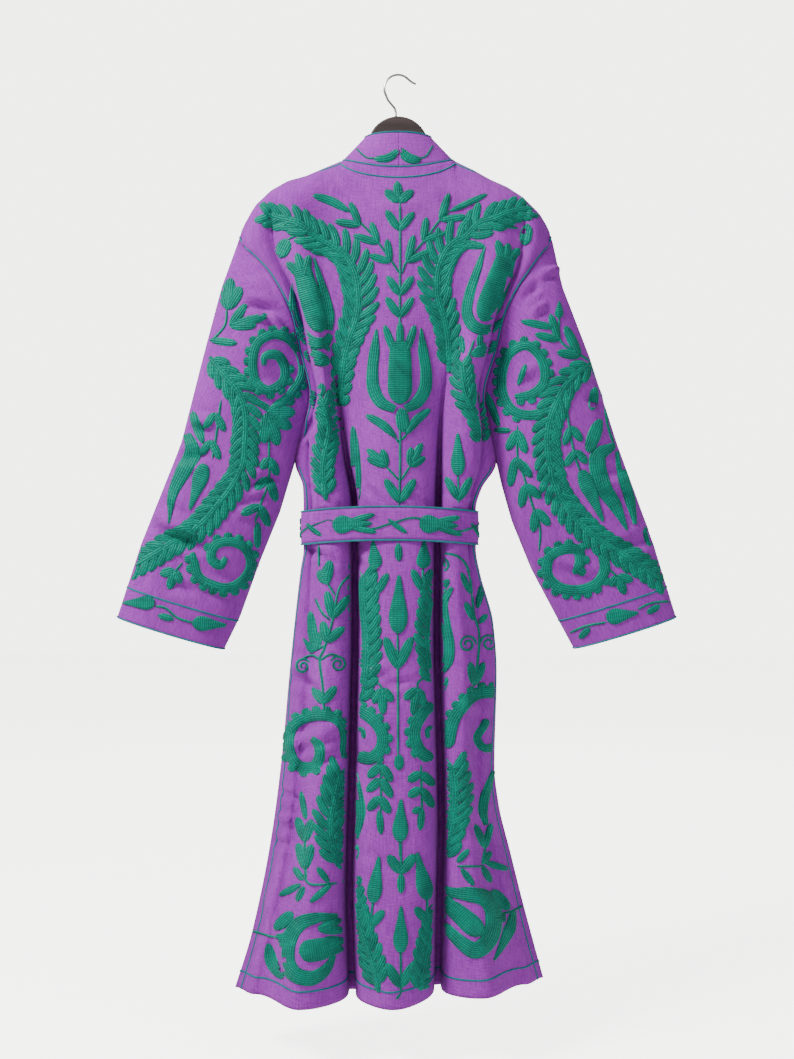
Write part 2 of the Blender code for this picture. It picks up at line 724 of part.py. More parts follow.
def make_front(name, side, material):
    share = np.linspace(0, 1, FRONT_COLUMNS + 1)
    grid = []
    for z in front_heights(side, share):
        edge_x, edge_y = front_edge(side, z)
        x = edge_x + (side * through(FRONT_SEAM, z) - edge_x) * share
        y = np.where(share == 0, edge_y, front_y(x, z, side))
        grid.append(np.stack([x, y, z], 1))
    grid = np.array(grid)
    grid[1:, 0, 1] += SEAM_GAP / 2
    grid[len(ARMHOLE_TURNS) - 1, 0, 1] += CORNER_EASE
    grid[0, :, 1] = SEAM_GAP / 2
    strip_row = grid[0].copy()
    strip_row[:, 1] += SEAM_STRIP
    grid = np.insert(grid, 1, strip_row, axis=0)
    grid = add_side_strips(grid, 1.0, (side,))
    seam, width = grid[:, -1], band_width(side)[-len(grid) + 1 :]
    seam[0, 1] += 2 * CORNER_EASE
    along = seam[2] - seam[0]
    seam[1] = seam[0] + along * SEAM_STRIP / np.linalg.norm(along)
    width = np.insert(width, 1, width[0], axis=0)
    seam[:6] -= width[:6] * CORNER_EASE
    strip = seam - width * SEAM_STRIP
    strip[0] = seam[0] - (seam[0] - grid[0, -2]) * 0.15
    grid = np.insert(grid, grid.shape[1] - 1, strip, axis=1)
    if side < 0:
        grid = grid[:, ::-1]
    return grid_object(name, grid, material, CLOTH)


def sleeve_section(side, share, turn, facing):
    """Points of one sleeve section, on its back or its front half."""
    table = np.array(SLEEVES["right" if side > 0 else "left"])
    row = [np.interp(share, table[:, 0], table[:, c]) for c in range(1, 7)]
    outer, inner = np.array([row[0], 0, row[1]]), np.array([row[2], 0, row[3]])
    depth = row[4] if facing < 0 else row[5]
    c, s = np.cos(turn)[:, None], np.sin(turn)[:, None]
    return (outer + inner) / 2 + (outer - inner) / 2 * c + np.array([0, facing * depth, 0]) * s**0.8


def make_sleeve(name, side, material):
    turn, _, back, front = armhole(side)
    halves = ((back, -1.0), (front, 1.0))
    under = (-0.93 * side, 0, -0.38)
    steps = [seam_step(curve, turn, side, facing, under) for curve, facing in halves]
    rings = []
    for share in np.linspace(0, 1, SLEEVE_ROWS + 1):
        ring = []
        for (curve, facing), step in zip(halves, steps):
            fade = max(1 - share / ARMHOLE_FADE, 0) ** 2
            points = sleeve_section(side, share, turn, facing)
            points = points + (curve - sleeve_section(side, 0.0, turn, facing)) * fade
            if share == 0:
                points = points + step * SEAM_GAP
            ring.append(points if facing < 0 else points[::-1][1:])
        rings.append(np.concatenate(ring))
    grid = np.array(rings)
    strip = grid[0] + np.concatenate([steps[0], steps[1][::-1][1:]]) * SEAM_STRIP
    grid = np.insert(grid, 1, strip, axis=0)
    grid[:, -1] = grid[:, 0]
    if side > 0:
        grid = grid[:, ::-1]
    return grid_object(name, grid, material, CLOTH, closed=True)


def neckband_rows(side):
    """Seam edge and free edge of the neckband, from the centre back over the shoulder to the hem."""
    turn = np.linspace(0, math.pi, CENTRE_COLUMNS + 1)
    neck_x, neck_y = -NECK_HALF * np.cos(turn), NECK_BACK_Y * np.sin(turn)
    collar_x, collar_y = -COLLAR_TOP_HALF * np.cos(turn), COLLAR_TOP_Y * np.sin(turn)
    middle = COLLAR_SEAM_X + side * SEAM_GAP / 2
    seam = [(middle, np.interp(middle, neck_x, neck_y), np.interp(middle, neck_x, top_z(neck_x)))]
    free = [(middle, np.interp(middle, collar_x, collar_y), COLLAR_TOP_Z)]
    for i in range(len(turn)) if side > 0 else range(len(turn) - 1, -1, -1):
        if side * neck_x[i] > 0 and side * neck_x[i] < NECK_HALF - 0.001:
            seam.append((neck_x[i], neck_y[i], float(top_z(neck_x[i]))))
            drop = COLLAR_DROP * (neck_x[i] / NECK_HALF) ** 2
            free.append((collar_x[i], collar_y[i], COLLAR_TOP_Z - drop))
    for z in front_heights(side, np.array([1.0]))[:, 0]:
        x = side * through(FRONT_SEAM, z)
        free_x = x + side * through(NECKBAND_STEPS, z, 1)
        y = float(front_y(x, z, side))
        free_y = float(front_y(free_x, z, side)) if z < COLLAR_FOOT_Z else y + COLLAR_LEAN
        seam.append((x, y, z))
        free.append((free_x, free_y, z + through(NECKBAND_STEPS, z, 2)))
    return np.array(seam, float), np.array(free, float)


def band_width(side):
    """Unit steps from the neckband's seam into the band at each of its rows."""
    seam, free = neckband_rows(side)
    near = seam + (free - seam) / NECKBAND_COLUMNS
    down = seam[:, 2] < COLLAR_FOOT_Z
    near[down, 1] = front_y(near[down, 0], near[down, 2], side)
    width = near - seam
    width /= np.linalg.norm(width, axis=1)[:, None]
    on_neck = seam[:, 1] < -0.001
    width[on_neck] = neck_width(seam[on_neck, 0])
    return width


def make_neckband(name, side, material):
    seam, free = neckband_rows(side)
    width = band_width(side)
    across = np.linspace(0, 1, NECKBAND_COLUMNS + 1)[:, None]
    grid = seam[:, None] * (1 - across) + free[:, None] * across
    down = seam[:, 2] < COLLAR_FOOT_Z
    grid[down, 1:-1, 1] = front_y(grid[down, 1:-1, 0], grid[down, 1:-1, 2], side)
    grid[:, 0] = seam + width * SEAM_GAP
    grid = np.insert(grid, 1, seam + width * (SEAM_GAP + SEAM_STRIP), axis=1)
    if side < 0:
        grid = grid[:, ::-1]
    return grid_object(name, grid, material, BAND_CLOTH)


def make_belt(material):
    x, y = belt_ring()
    x, y = np.append(x, x[0]), np.append(y, y[0])
    middle = belt_z(x)
    rows = [np.stack([x, y, middle + BELT_WIDTH * s], 1) for s in (0.5, 0.0, -0.5)]
    return grid_object("belt", np.array(rows), material, BAND_CLOTH, closed=True)


def make_knot(material):
    """The half knot of the belt on the front, a soft block with a waist where the ends leave it."""
    bm = bmesh.new()
    bmesh.ops.create_cube(bm, size=1.0)
    bmesh.ops.subdivide_edges(bm, edges=bm.edges, cuts=3, use_grid_fill=True)
    for v in bm.verts:
        v.co.x *= KNOT_SIZE[0] * (1 - KNOT_WAIST * (2 * v.co.z) ** 2)
        v.co.y *= KNOT_SIZE[1]
        v.co.z *= KNOT_SIZE[2]
    mesh = bpy.data.meshes.new("belt_knot")
    bm.to_mesh(mesh)
    bm.free()
    obj = bpy.data.objects.new("belt_knot", mesh)
    front = BELT_CENTRE_Y + BELT_HALF_Y
    obj.location = (KNOT_X, front + KNOT_SIZE[1] / 2 + SEAM_GAP, BELT_Z)
    soft = obj.modifiers.new("round", "BEVEL")
    soft.width = KNOT_EDGE
    soft.segments = 2
    soft.angle_limit = math.radians(50)
    mesh.materials.append(material)
    robe.objects.link(obj)
    return obj


def make_tail(name, side, length, material):
    """One hanging end of the belt, from under the knot. The right end hangs in front of the left."""
    start = BELT_Z - KNOT_SIZE[2] / 2 - SEAM_GAP
    front = BELT_CENTRE_Y + BELT_HALF_Y + TAIL_STAND_OFF[0 if side > 0 else 1]
    grid = []
    for i in range(TAIL_ROWS + 1):
        s = i / TAIL_ROWS
        centre = KNOT_X + side * (TAIL_SPREAD[0] + TAIL_SPREAD[1] * s)
        half = TAIL_WIDTH / 2 * (TAIL_GATHER + (1 - TAIL_GATHER) * float(smooth(s * length / TAIL_OPENS)))
        y = front + TAIL_WAVE * math.sin(5.2 * s * length / TAIL_LENGTHS[0] + 0.4)
        grid.append([(centre + half * t, y, start - length * s) for t in (-1, -0.33, 0.33, 1)])
    return grid_object(name, np.array(grid)[:, ::-1], material, BAND_CLOTH)


def hanger_outline():
    """Points of the hanger's flat outline, x and z, from the top of the hump round by the wearer's right."""
    centre = HUMP_TOP_Z - HUMP_RADIUS
    turn = np.radians(np.linspace(90, -10, 11))
    hump = [(HUMP_RADIUS * math.cos(a), centre + HUMP_RADIUS * math.sin(a)) for a in turn]
    right = hump + arm_outline(1)
    left = [(x, z) for x, z in hump[1:]] + arm_outline(-1)
    return right + [(-abs(x), z) for x, z in left[::-1]]


def arm_outline(side):
    """The hanger's arm under the shoulder: along its top, round its end and back along its underside."""
    reach = np.linspace(0.070, HANGER_HALF, 8)
    z = top_z(side * reach)
    slope = np.gradient(z, reach)
    length = np.sqrt(1 + slope**2)
    top = np.stack([reach + HANGER_DROP * slope / length, z - HANGER_DROP / length], 1)
    foot = np.stack([reach, z - HANGER_DROP - HANGER_ARM * (1.35 - 0.35 * reach / HANGER_HALF)], 1)
    end = top[-1] + [0.001, -0.008]
    return [tuple(p) for p in (*top, end, *foot[::-1][1:])]


def make_hanger(material):
    bm = bmesh.new()
    outline = [bm.verts.new((x, -HANGER_THICK / 2, z)) for x, z in hanger_outline()]
    face = bm.faces.new(outline)
    side = bmesh.ops.extrude_face_region(bm, geom=[face])
    for v in (g for g in side["geom"] if isinstance(g, bmesh.types.BMVert)):
        v.co.y += HANGER_THICK
    bmesh.ops.recalc_face_normals(bm, faces=bm.faces)
    mesh = bpy.data.meshes.new("hanger")
    bm.to_mesh(mesh)
    bm.free()
    obj = bpy.data.objects.new("hanger", mesh)
    robe.objects.link(obj)
    rounded = obj.modifiers.new("edges", "BEVEL")
    rounded.width = HANGER_EDGE
    rounded.segments = 1
    rounded.limit_method = "ANGLE"
    rounded.angle_limit = math.radians(60)
    mesh.materials.append(material)
    mesh.shade_smooth()
    mesh.set_sharp_from_angle(angle=math.radians(50))
    return obj


def hook_route():
    """Centre line of the hook's wire, from the hanger up round the hook to its flared end: x, z."""
    centre_z = WIRE - HOOK_RADIUS
    foot = (HOOK_STEM_X, HUMP_TOP_Z + SEAM_GAP)
    turn = np.radians(np.linspace(202, 42, 19))
    bend = [(HOOK_RADIUS * math.cos(a), centre_z + HOOK_RADIUS * math.sin(a)) for a in turn]
    return [foot, *HOOK_STEM, *bend, *HOOK_END]


def make_hook(material):
    curve = bpy.data.curves.new("hook", "CURVE")
    curve.dimensions = "3D"
    curve.bevel_depth = WIRE
    curve.bevel_resolution = 2
    curve.use_fill_caps = True
    route = hook_route()
    spline = curve.splines.new("POLY")
    spline.points.add(len(route) - 1)
    for p, (x, z) in zip(spline.points, route):
        p.co = (x, 0.0, z, 1.0)
    curve.materials.append(material)
    obj = bpy.data.objects.new("hook", curve)
    robe.objects.link(obj)
    return obj


for old in list(bpy.data.objects):
    bpy.data.objects.remove(old, do_unlink=True)
robe = bpy.data.collections.new("embroidered_robe")
bpy.context.scene.collection.children.link(robe)

orchid = cloth_material("orchid_cotton", (0.42, 0.12, 0.56))
board = cloth_material("black_board", (0.02, 0.018, 0.02), 0.45)
steel = cloth_material("bright_wire", (0.75, 0.75, 0.76), 0.25, 1.0)

make_back(orchid)
make_front("front_right", 1, orchid)
make_front("front_left", -1, orchid)
make_sleeve("sleeve_right", 1, orchid)
make_sleeve("sleeve_left", -1, orchid)
make_neckband("neckband_right", 1, orchid)
make_neckband("neckband_left", -1, orchid)
make_belt(orchid)
make_knot(orchid)
make_tail("belt_end_right", 1, TAIL_LENGTHS[0], orchid)
make_tail("belt_end_left", -1, TAIL_LENGTHS[1], orchid)
make_hanger(board)
make_hook(steel)
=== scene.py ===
import math

import bmesh
import bpy
import numpy as np
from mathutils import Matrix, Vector
from mathutils.bvhtree import BVHTree


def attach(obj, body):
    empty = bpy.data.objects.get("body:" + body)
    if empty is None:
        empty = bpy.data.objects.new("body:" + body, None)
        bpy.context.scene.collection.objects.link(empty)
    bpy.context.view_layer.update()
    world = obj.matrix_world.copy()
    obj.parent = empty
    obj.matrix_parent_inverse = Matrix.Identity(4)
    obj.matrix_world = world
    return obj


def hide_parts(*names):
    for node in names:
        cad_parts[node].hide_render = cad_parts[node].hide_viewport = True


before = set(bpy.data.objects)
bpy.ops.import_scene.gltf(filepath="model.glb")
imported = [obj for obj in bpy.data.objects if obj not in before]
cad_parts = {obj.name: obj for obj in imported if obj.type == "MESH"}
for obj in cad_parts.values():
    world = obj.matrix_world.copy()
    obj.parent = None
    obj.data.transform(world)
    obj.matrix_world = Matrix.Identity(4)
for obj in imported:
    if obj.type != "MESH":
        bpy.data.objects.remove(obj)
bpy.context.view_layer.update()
print("frame loaded:", len(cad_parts), "nodes")


# Heights and seams of the robe, in metres from the inside top of the hook

robe = {
    "tipZ": -0.244, "underarmZ": -0.565, "hemZ": -1.330, "hemLiftRight": 0.014,
    "neckHalf": 0.082, "neckSideZ": -0.125, "neckBackZ": -0.142, "neckBackY": -0.030,
    "rollBack": 0.055, "rollFront": 0.036,
    "clothThick": 0.0014, "bandThick": 0.0022, "seamGap": 0.0003, "creased": 3.1, "fadeRows": 5,
}

shoulderSlope = np.array([  # x, z
    (-0.234, -0.244), (-0.226, -0.222), (-0.208, -0.190), (-0.185, -0.168), (-0.160, -0.154),
    (-0.134, -0.147), (-0.111, -0.137), (-0.082, -0.125), (0.082, -0.125), (0.111, -0.139), (0.134, -0.152),
    (0.159, -0.163), (0.182, -0.178), (0.206, -0.202), (0.219, -0.224), (0.226, -0.244),
])

foldLines = [  # down the back, from the wearer's left to right: z, x, y
    ((-0.244, -0.234, 0.000), (-0.2449, -0.2336, -0.0045), (-0.2537, -0.2230, -0.0135),
     (-0.288, -0.188, -0.025), (-0.324, -0.166, -0.029), (-0.356, -0.152, -0.025), (-0.402, -0.143, -0.014),
     (-0.468, -0.129, -0.010), (-0.533, -0.144, -0.010), (-0.557, -0.149, -0.010), (-0.565, -0.150, -0.004),
     (-0.600, -0.1385, -0.008), (-0.630, -0.1372, -0.011), (-0.655, -0.1372, -0.012),
     (-0.690, -0.1372, -0.011), (-0.722, -0.142, -0.008), (-0.868, -0.158, -0.004),
     (-0.977, -0.168, -0.002), (-1.103, -0.184, 0.000), (-1.252, -0.214, 0.000), (-1.330, -0.238, 0.000)),
    ((-0.190, -0.184, -0.030), (-0.232, -0.181, -0.022), (-0.273, -0.172, -0.022), (-0.304, -0.156, -0.022),
     (-0.340, -0.142, -0.020), (-0.402, -0.130, -0.014), (-0.468, -0.117, -0.012), (-0.525, -0.128, -0.014),
     (-0.565, -0.128, -0.017), (-0.612, -0.124, -0.020), (-0.655, -0.122, -0.022), (-0.722, -0.125, -0.024),
     (-0.868, -0.132, -0.032), (-1.103, -0.156, -0.031), (-1.330, -0.206, -0.030)),
    ((-0.130, -0.082, -0.026), (-0.240, -0.102, -0.033), (-0.330, -0.098, -0.038), (-0.420, -0.092, -0.034),
     (-0.495, -0.084, -0.022), (-0.556, -0.075, -0.010), (-0.625, -0.0635, -0.002), (-0.690, -0.063, -0.001),
     (-0.800, -0.062, -0.002), (-0.911, -0.064, -0.006), (-1.078, -0.068, -0.009), (-1.170, -0.070, -0.009),
     (-1.330, -0.066, -0.009)),
    ((-0.130, 0.082, -0.026), (-0.240, 0.091, -0.033), (-0.330, 0.088, -0.038), (-0.420, 0.073, -0.034),
     (-0.480, 0.064, -0.022), (-0.519, 0.061, -0.012), (-0.625, 0.058, -0.002), (-0.690, 0.057, -0.001),
     (-0.823, 0.056, -0.002), (-0.911, 0.058, -0.006), (-1.078, 0.062, -0.008), (-1.170, 0.060, -0.009),
     (-1.330, 0.057, -0.009)),
    ((-0.190, 0.184, -0.030), (-0.240, 0.180, -0.022), (-0.283, 0.171, -0.022), (-0.321, 0.153, -0.021),
     (-0.356, 0.140, -0.019), (-0.402, 0.130, -0.014), (-0.468, 0.115, -0.012), (-0.525, 0.121, -0.014),
     (-0.565, 0.118, -0.017), (-0.612, 0.105, -0.020), (-0.655, 0.099, -0.022), (-0.724, 0.104, -0.024),
     (-0.870, 0.122, -0.034), (-1.008, 0.118, -0.034), (-1.132, 0.140, -0.032), (-1.330, 0.186, -0.030)),
    ((-0.244, 0.226, 0.000), (-0.2449, 0.2256, -0.0045), (-0.2537, 0.2170, -0.0135), (-0.283, 0.194, -0.024),
     (-0.324, 0.167, -0.029), (-0.356, 0.153, -0.025), (-0.402, 0.143, -0.014), (-0.468, 0.127, -0.010),
     (-0.533, 0.138, -0.010), (-0.557, 0.1425, -0.010), (-0.565, 0.143, -0.004), (-0.604, 0.121, -0.008),
     (-0.632, 0.1132, -0.011), (-0.655, 0.1132, -0.012), (-0.690, 0.1132, -0.011), (-0.724, 0.119, -0.008),
     (-0.799, 0.139, -0.005), (-0.870, 0.144, -0.003), (-1.008, 0.141, 0.000), (-1.062, 0.147, 0.000),
     (-1.132, 0.164, 0.000), (-1.208, 0.183, 0.000), (-1.330, 0.216, 0.000)),
]

swells = [  # how far the cloth swells out between two fold lines: z, y
    ((-0.200, -0.026), (-0.284, -0.030), (-0.324, -0.030), (-0.356, -0.024), (-0.402, -0.015),
     (-0.468, -0.013), (-0.525, -0.015), (-0.565, -0.019), (-0.612, -0.024), (-0.655, -0.030),
     (-0.722, -0.026), (-1.330, -0.016)),
    ((-0.200, -0.036), (-0.330, -0.050), (-0.468, -0.052), (-0.655, -0.054), (-0.722, -0.058),
     (-0.868, -0.068), (-1.103, -0.078), (-1.330, -0.092)),
    ((-0.142, -0.030), (-0.200, -0.036), (-0.330, -0.046), (-0.468, -0.054), (-0.565, -0.061),
     (-0.655, -0.0625), (-0.722, -0.068), (-0.868, -0.078), (-1.103, -0.086), (-1.330, -0.093)),
    ((-0.200, -0.036), (-0.330, -0.050), (-0.468, -0.052), (-0.655, -0.052), (-0.722, -0.055),
     (-0.868, -0.064), (-1.103, -0.072), (-1.330, -0.086)),
    ((-0.200, -0.026), (-0.284, -0.030), (-0.324, -0.030), (-0.356, -0.024), (-0.402, -0.015),
     (-0.468, -0.013), (-0.525, -0.015), (-0.565, -0.019), (-0.612, -0.023), (-0.655, -0.028),
     (-0.724, -0.025), (-1.330, -0.016)),
]
crispness = (  # z, at the two deep folds, at the folds by the arms
    (-0.200, 0.00, 0.10), (-0.300, 0.00, 0.60), (-0.400, 0.05, 0.90), (-0.500, 0.50, 1.00),
    (-0.580, 0.90, 1.00), (-0.655, 1.00, 0.90), (-0.760, 1.00, 0.30), (-0.900, 1.00, 0.00),
    (-1.100, 1.00, 0.00), (-1.330, 0.75, 0.00),
)
foldFloor = ((-0.200, 0.0006), (-0.450, 0.0020), (-0.600, 0.0036), (-1.330, 0.0045))

frontArmhole = (  # z, distance from the middle, y
    (-0.244, 0.226, 0.000), (-0.2449, 0.2256, 0.004), (-0.2537, 0.2200, 0.0115), (-0.290, 0.203, 0.020),
    (-0.340, 0.184, 0.026), (-0.400, 0.168, 0.028), (-0.470, 0.154, 0.024), (-0.533, 0.149, 0.014),
    (-0.557, 0.147, 0.005), (-0.565, 0.1465, -0.004),
)
frontDepth = (
    (-0.125, 0.018), (-0.200, 0.024), (-0.330, 0.032), (-0.500, 0.037), (-0.655, 0.0385), (-0.760, 0.0395),
    (-1.330, 0.041),
)
frontSeam = (  # z, distance of the neckband's seam from the middle
    (-0.125, 0.082), (-0.160, 0.080), (-0.220, 0.073), (-0.300, 0.062), (-0.400, 0.048), (-0.500, 0.037),
    (-0.600, 0.030), (-1.330, 0.033),
)
frontFolds = (  # x at the belt, x at the hem, depth at the belt, depth at the hem, half width
    (-0.100, -0.165, 0.026, 0.018, 0.011), (-0.066, -0.100, 0.014, 0.012, 0.012),
    (0.060, 0.085, 0.020, 0.014, 0.011), (0.088, 0.145, 0.024, 0.018, 0.011),
)

sleeves = {  # share of the length, outer x, z, inner x, z, depth at the back, depth at the front
    1: np.array([
        (0.00, 0.226, -0.244, 0.143, -0.565, 0.034, 0.028),
        (0.12, 0.240, -0.309, 0.151, -0.598, 0.045, 0.033),
        (0.31, 0.279, -0.411, 0.166, -0.650, 0.048, 0.035),
        (0.54, 0.319, -0.537, 0.194, -0.719, 0.044, 0.034),
        (0.80, 0.370, -0.676, 0.230, -0.787, 0.038, 0.031),
        (1.00, 0.405, -0.789, 0.256, -0.835, 0.035, 0.029),
    ]),
    -1: np.array([
        (0.00, -0.234, -0.244, -0.150, -0.565, 0.034, 0.028),
        (0.12, -0.257, -0.309, -0.158, -0.590, 0.045, 0.033),
        (0.31, -0.284, -0.411, -0.172, -0.636, 0.048, 0.035),
        (0.54, -0.316, -0.537, -0.202, -0.710, 0.044, 0.034),
        (0.80, -0.374, -0.682, -0.230, -0.788, 0.038, 0.031),
        (1.00, -0.409, -0.789, -0.2535, -0.836, 0.035, 0.029),
    ]),
}

neckbandSteps = (  # height of the seam, then the free edge's step across and up from it
    (-0.125, -0.034, 0.035), (-0.135, -0.037, 0.037), (-0.160, -0.044, 0.034), (-0.220, -0.052, 0.024),
    (-0.320, -0.056, 0.014), (-0.450, -0.058, 0.008), (-0.600, -0.058, 0.000), (-1.330, -0.058, 0.000),
)
collar = {"topZ": -0.088, "topHalf": 0.048, "topY": -0.024, "seamX": 0.0015}
belt = {
    "z": -0.653, "sag": 0.007, "width": 0.048, "x": -0.012, "y": -0.012, "halfX": 0.129, "halfY": 0.054,
    "power": 2.4, "ease": 0.0004, "release": 0.090, "thick": 0.003,
    "knot": (0.050, 0.022, 0.044), "knotX": 0.004, "knotPitch": 0.0042, "knotCrease": 0.0042, "clear": 0.0003,
    "ends": {1: 0.430, -1: 0.390}, "endAway": {1: 0.0135, -1: 0.0078}, "endWidth": 0.046,
    "swell": 0.0008, "ripple": 0.0004, "endWave": 0.002, "endGather": 0.0014,
}


def through(table, z, column=1):
    # A smooth curve through the rows of a table, read at height z.
    rows = np.array(table, float)[::-1]
    h, v = rows[:, 0], rows[:, column]
    step = np.diff(h)
    slope = np.diff(v) / step
    total = slope[:-1] + slope[1:]
    product = slope[:-1] * slope[1:]
    middle = np.where(product > 0, 2 * slope[:-1] * slope[1:] / np.where(total == 0, 1, total), 0.0)
    tangent = np.concatenate([slope[:1], middle, slope[-1:]])
    z = np.clip(np.asarray(z, float), h[0], h[-1])
    i = np.clip(np.searchsorted(h, z) - 1, 0, len(step) - 1)
    t = (z - h[i]) / step[i]
    return (v[i] * (2 * t**3 - 3 * t**2 + 1) + tangent[i] * step[i] * (t**3 - 2 * t**2 + t)
            + v[i + 1] * (3 * t**2 - 2 * t**3) + tangent[i + 1] * step[i] * (t**3 - t**2))


def smooth(t):
    t = np.clip(t, 0.0, 1.0)
    return t * t * (3 - 2 * t)


def tube(t, power):
    return (1 - np.clip(np.abs(t), 0, 1) ** power) ** (1 / power)


def quarter(t):
    return np.sqrt(1 - (1 - np.clip(t, 0, 1)) ** 2)


def topZ(x):
    share = np.clip(x, -robe["neckHalf"], robe["neckHalf"]) / robe["neckHalf"]
    neck = robe["neckBackZ"] + (robe["neckSideZ"] - robe["neckBackZ"]) * share**2
    slope = np.interp(x, shoulderSlope[:, 0], shoulderSlope[:, 1])
    return np.where(np.abs(x) < robe["neckHalf"], neck, slope)


def topY(x):
    return robe["neckBackY"] * tube(np.clip(x, -robe["neckHalf"], robe["neckHalf"]) / robe["neckHalf"], 2)


def hemLift(x):
    return robe["hemLiftRight"] * smooth((x + 0.02) / 0.16)


def beltZ(x):
    return belt["z"] - belt["sag"] * ((x - belt["x"]) / belt["halfX"]) ** 2


def beltRing(steps, inward=0.0):
    angle = np.linspace(0, 2 * math.pi, steps, endpoint=False)
    c, s = np.cos(angle), np.sin(angle)
    power = 2 / belt["power"]
    x = belt["x"] + (belt["halfX"] - inward) * np.sign(c) * np.abs(c) ** power
    y = belt["y"] + (belt["halfY"] - inward) * np.sign(s) * np.abs(s) ** power
    return x, y


def beltLimit(x, z):
    # How far the cloth may reach from the belt's middle plane, inside the belt and near it.
    edge = beltZ(np.clip(x, belt["x"] - belt["halfX"], belt["x"] + belt["halfX"]))
    away = np.maximum(np.abs(z - edge) - belt["width"] / 2 - 0.0015, 0)
    free = 0.030 * quarter(away / belt["release"]) + 0.5 * np.maximum(away - belt["release"], 0)
    steps = 120
    ringX, ringY = beltRing(steps, belt["thick"] + 0.0006)
    half = steps // 2 + 1
    place = belt["x"] + (x - belt["x"]) / (1 + 1.6 * free / belt["halfX"])
    inside = np.interp(place, ringX[:half][::-1], (ringY[:half] - belt["y"])[::-1], left=0, right=0)
    return np.maximum(inside - belt["ease"], 0) + free * np.minimum(inside / 0.03, 1)


def backPoint(swell, share, z):
    lines = [(through(line, z, 1), through(line, z, 2)) for line in foldLines]
    crests = [through(s, z) for s in swells]
    floor, deep, side = through(foldFloor, z), through(crispness, z, 1), through(crispness, z, 2)
    x, y = np.zeros(len(z)), np.zeros(len(z))
    roundSide = smooth((robe["underarmZ"] + 0.03 - z) / 0.06) * (1 - smooth((-0.76 - z) / 0.35))
    for n in range(5):
        (x0, y0), (x1, y1) = lines[n], lines[n + 1]
        x0 = x0 + floor * (n in (2, 3))
        x1 = x1 - floor * (n in (1, 2))
        here = swell == n
        if n in (0, 4):
            out = share if n == 0 else 1 - share
            edgeY, foldY = (y0, y1) if n == 0 else (y1, y0)
            lift = quarter(out) * roundSide + smooth(out) * (1 - roundSide)
            bulge = np.minimum(crests[n] - 0.5 * (edgeY + foldY), 0)
            place = edgeY + (foldY - edgeY) * lift + bulge * np.sin(math.pi * out) * (1 - 0.8 * roundSide)
        else:
            across = 2 * share - 1
            crisp = np.where(across < 0, side if n == 1 else deep, side if n == 3 else deep)
            shape = crisp * tube(across, 3.0) + (1 - crisp) * (0.5 + 0.5 * np.cos(math.pi * across))
            bottom = y0 + (y1 - y0) * smooth(share)
            place = bottom + (crests[n] - bottom) * shape
        x = np.where(here, x0 + (x1 - x0) * share, x)
        y = np.where(here, place, y)
    roll = quarter((topZ(x) - z) / robe["rollBack"])
    edge = np.where(swell == 0, 1 - share, np.where(swell == 4, share, 0))
    roll += (1 - roll) * edge**4
    y = topY(x) + (y - topY(x)) * roll
    return x, np.maximum(y, belt["y"] - beltLimit(x, z))


def edgeLine(side, z):
    line = foldLines[5 if side > 0 else 0]
    return through(line, z, 1), through(line, z, 2)


def frontEdge(side, z):
    seamX, seamY = edgeLine(side, z)
    down = smooth((robe["tipZ"] - z) / (robe["tipZ"] - robe["underarmZ"]))
    tipX, endX = edgeLine(side, robe["tipZ"])[0], edgeLine(side, robe["underarmZ"])[0]
    armX = side * through(frontArmhole, z, 1)
    armX = armX + (tipX - side * frontArmhole[0][1]) * (1 - down) + (endX - side * frontArmhole[-1][1]) * down
    below = z < robe["underarmZ"]
    return np.where(below, seamX, armX), np.where(below, seamY, through(frontArmhole, z, 2))


def frontY(x, z, side):
    (leftX, leftY), (rightX, rightY) = frontEdge(-1, z), frontEdge(1, z)
    across = (2 * x - leftX - rightX) / (rightX - leftX)
    edge = np.where(across < 0, leftY, rightY)
    closed = smooth((robe["underarmZ"] + 0.05 - z) / 0.08)
    dome = closed * tube(across, 2.6) + (1 - closed) * (1 - np.clip(np.abs(across), 0, 1) ** 5)
    y = edge + (through(frontDepth, z) - edge) * dome
    for beltX, hemX, beltDepth, hemDepth, half in frontFolds:
        down = np.clip((belt["z"] - z) / (belt["z"] - robe["hemZ"]), 0, 1)
        place = beltX + (hemX - beltX) * down
        fold = (beltDepth + (hemDepth - beltDepth) * down) * smooth((-0.400 - z) / 0.2)
        y = y - fold * np.exp(-(((x - place) / (half * (1 + 1.2 * down))) ** 2)) * (np.abs(across) < 1)
    seam = np.maximum(robe["neckSideZ"] - topZ(x), 0) * (np.abs(x) > robe["neckHalf"])
    y = y * quarter((robe["neckSideZ"] - z - seam) / robe["rollFront"])
    y = np.minimum(y, belt["y"] + beltLimit(x, z))
    return y - (0.0065 * smooth((x + 0.078) / 0.032) if side < 0 else 0)


# Meshes

def lengthAlong(points, axis=0):
    # Distance from the first point, along a line or along each row or column of a grid.
    steps = np.linalg.norm(np.diff(points, axis=axis), axis=-1)
    return np.concatenate([np.zeros_like(steps.take([0], axis)), np.cumsum(steps, axis)], axis)


def unit(vectors):
    return vectors / np.maximum(np.linalg.norm(vectors, axis=-1), 1e-9)[..., None]


def faceNormals(points):
    # A vector square to each face of a grid, twice as long as the face's area.
    return np.cross(points[:-1, 1:] - points[1:, :-1], points[1:, 1:] - points[:-1, :-1])


def faceCorners(rows, columns, flip):
    # The row and the column of the four corners of each face of a grid.
    r, c = [i.ravel() for i in np.meshgrid(np.arange(rows - 1), np.arange(columns - 1), indexing="ij")]
    corners = [(r, c), (r, c + 1), (r + 1, c + 1), (r + 1, c)]
    return corners[::-1] if flip else corners


def putInScene(name, data):
    piece = bpy.data.objects.new(name, data)
    bpy.context.scene.collection.objects.link(piece)
    return piece


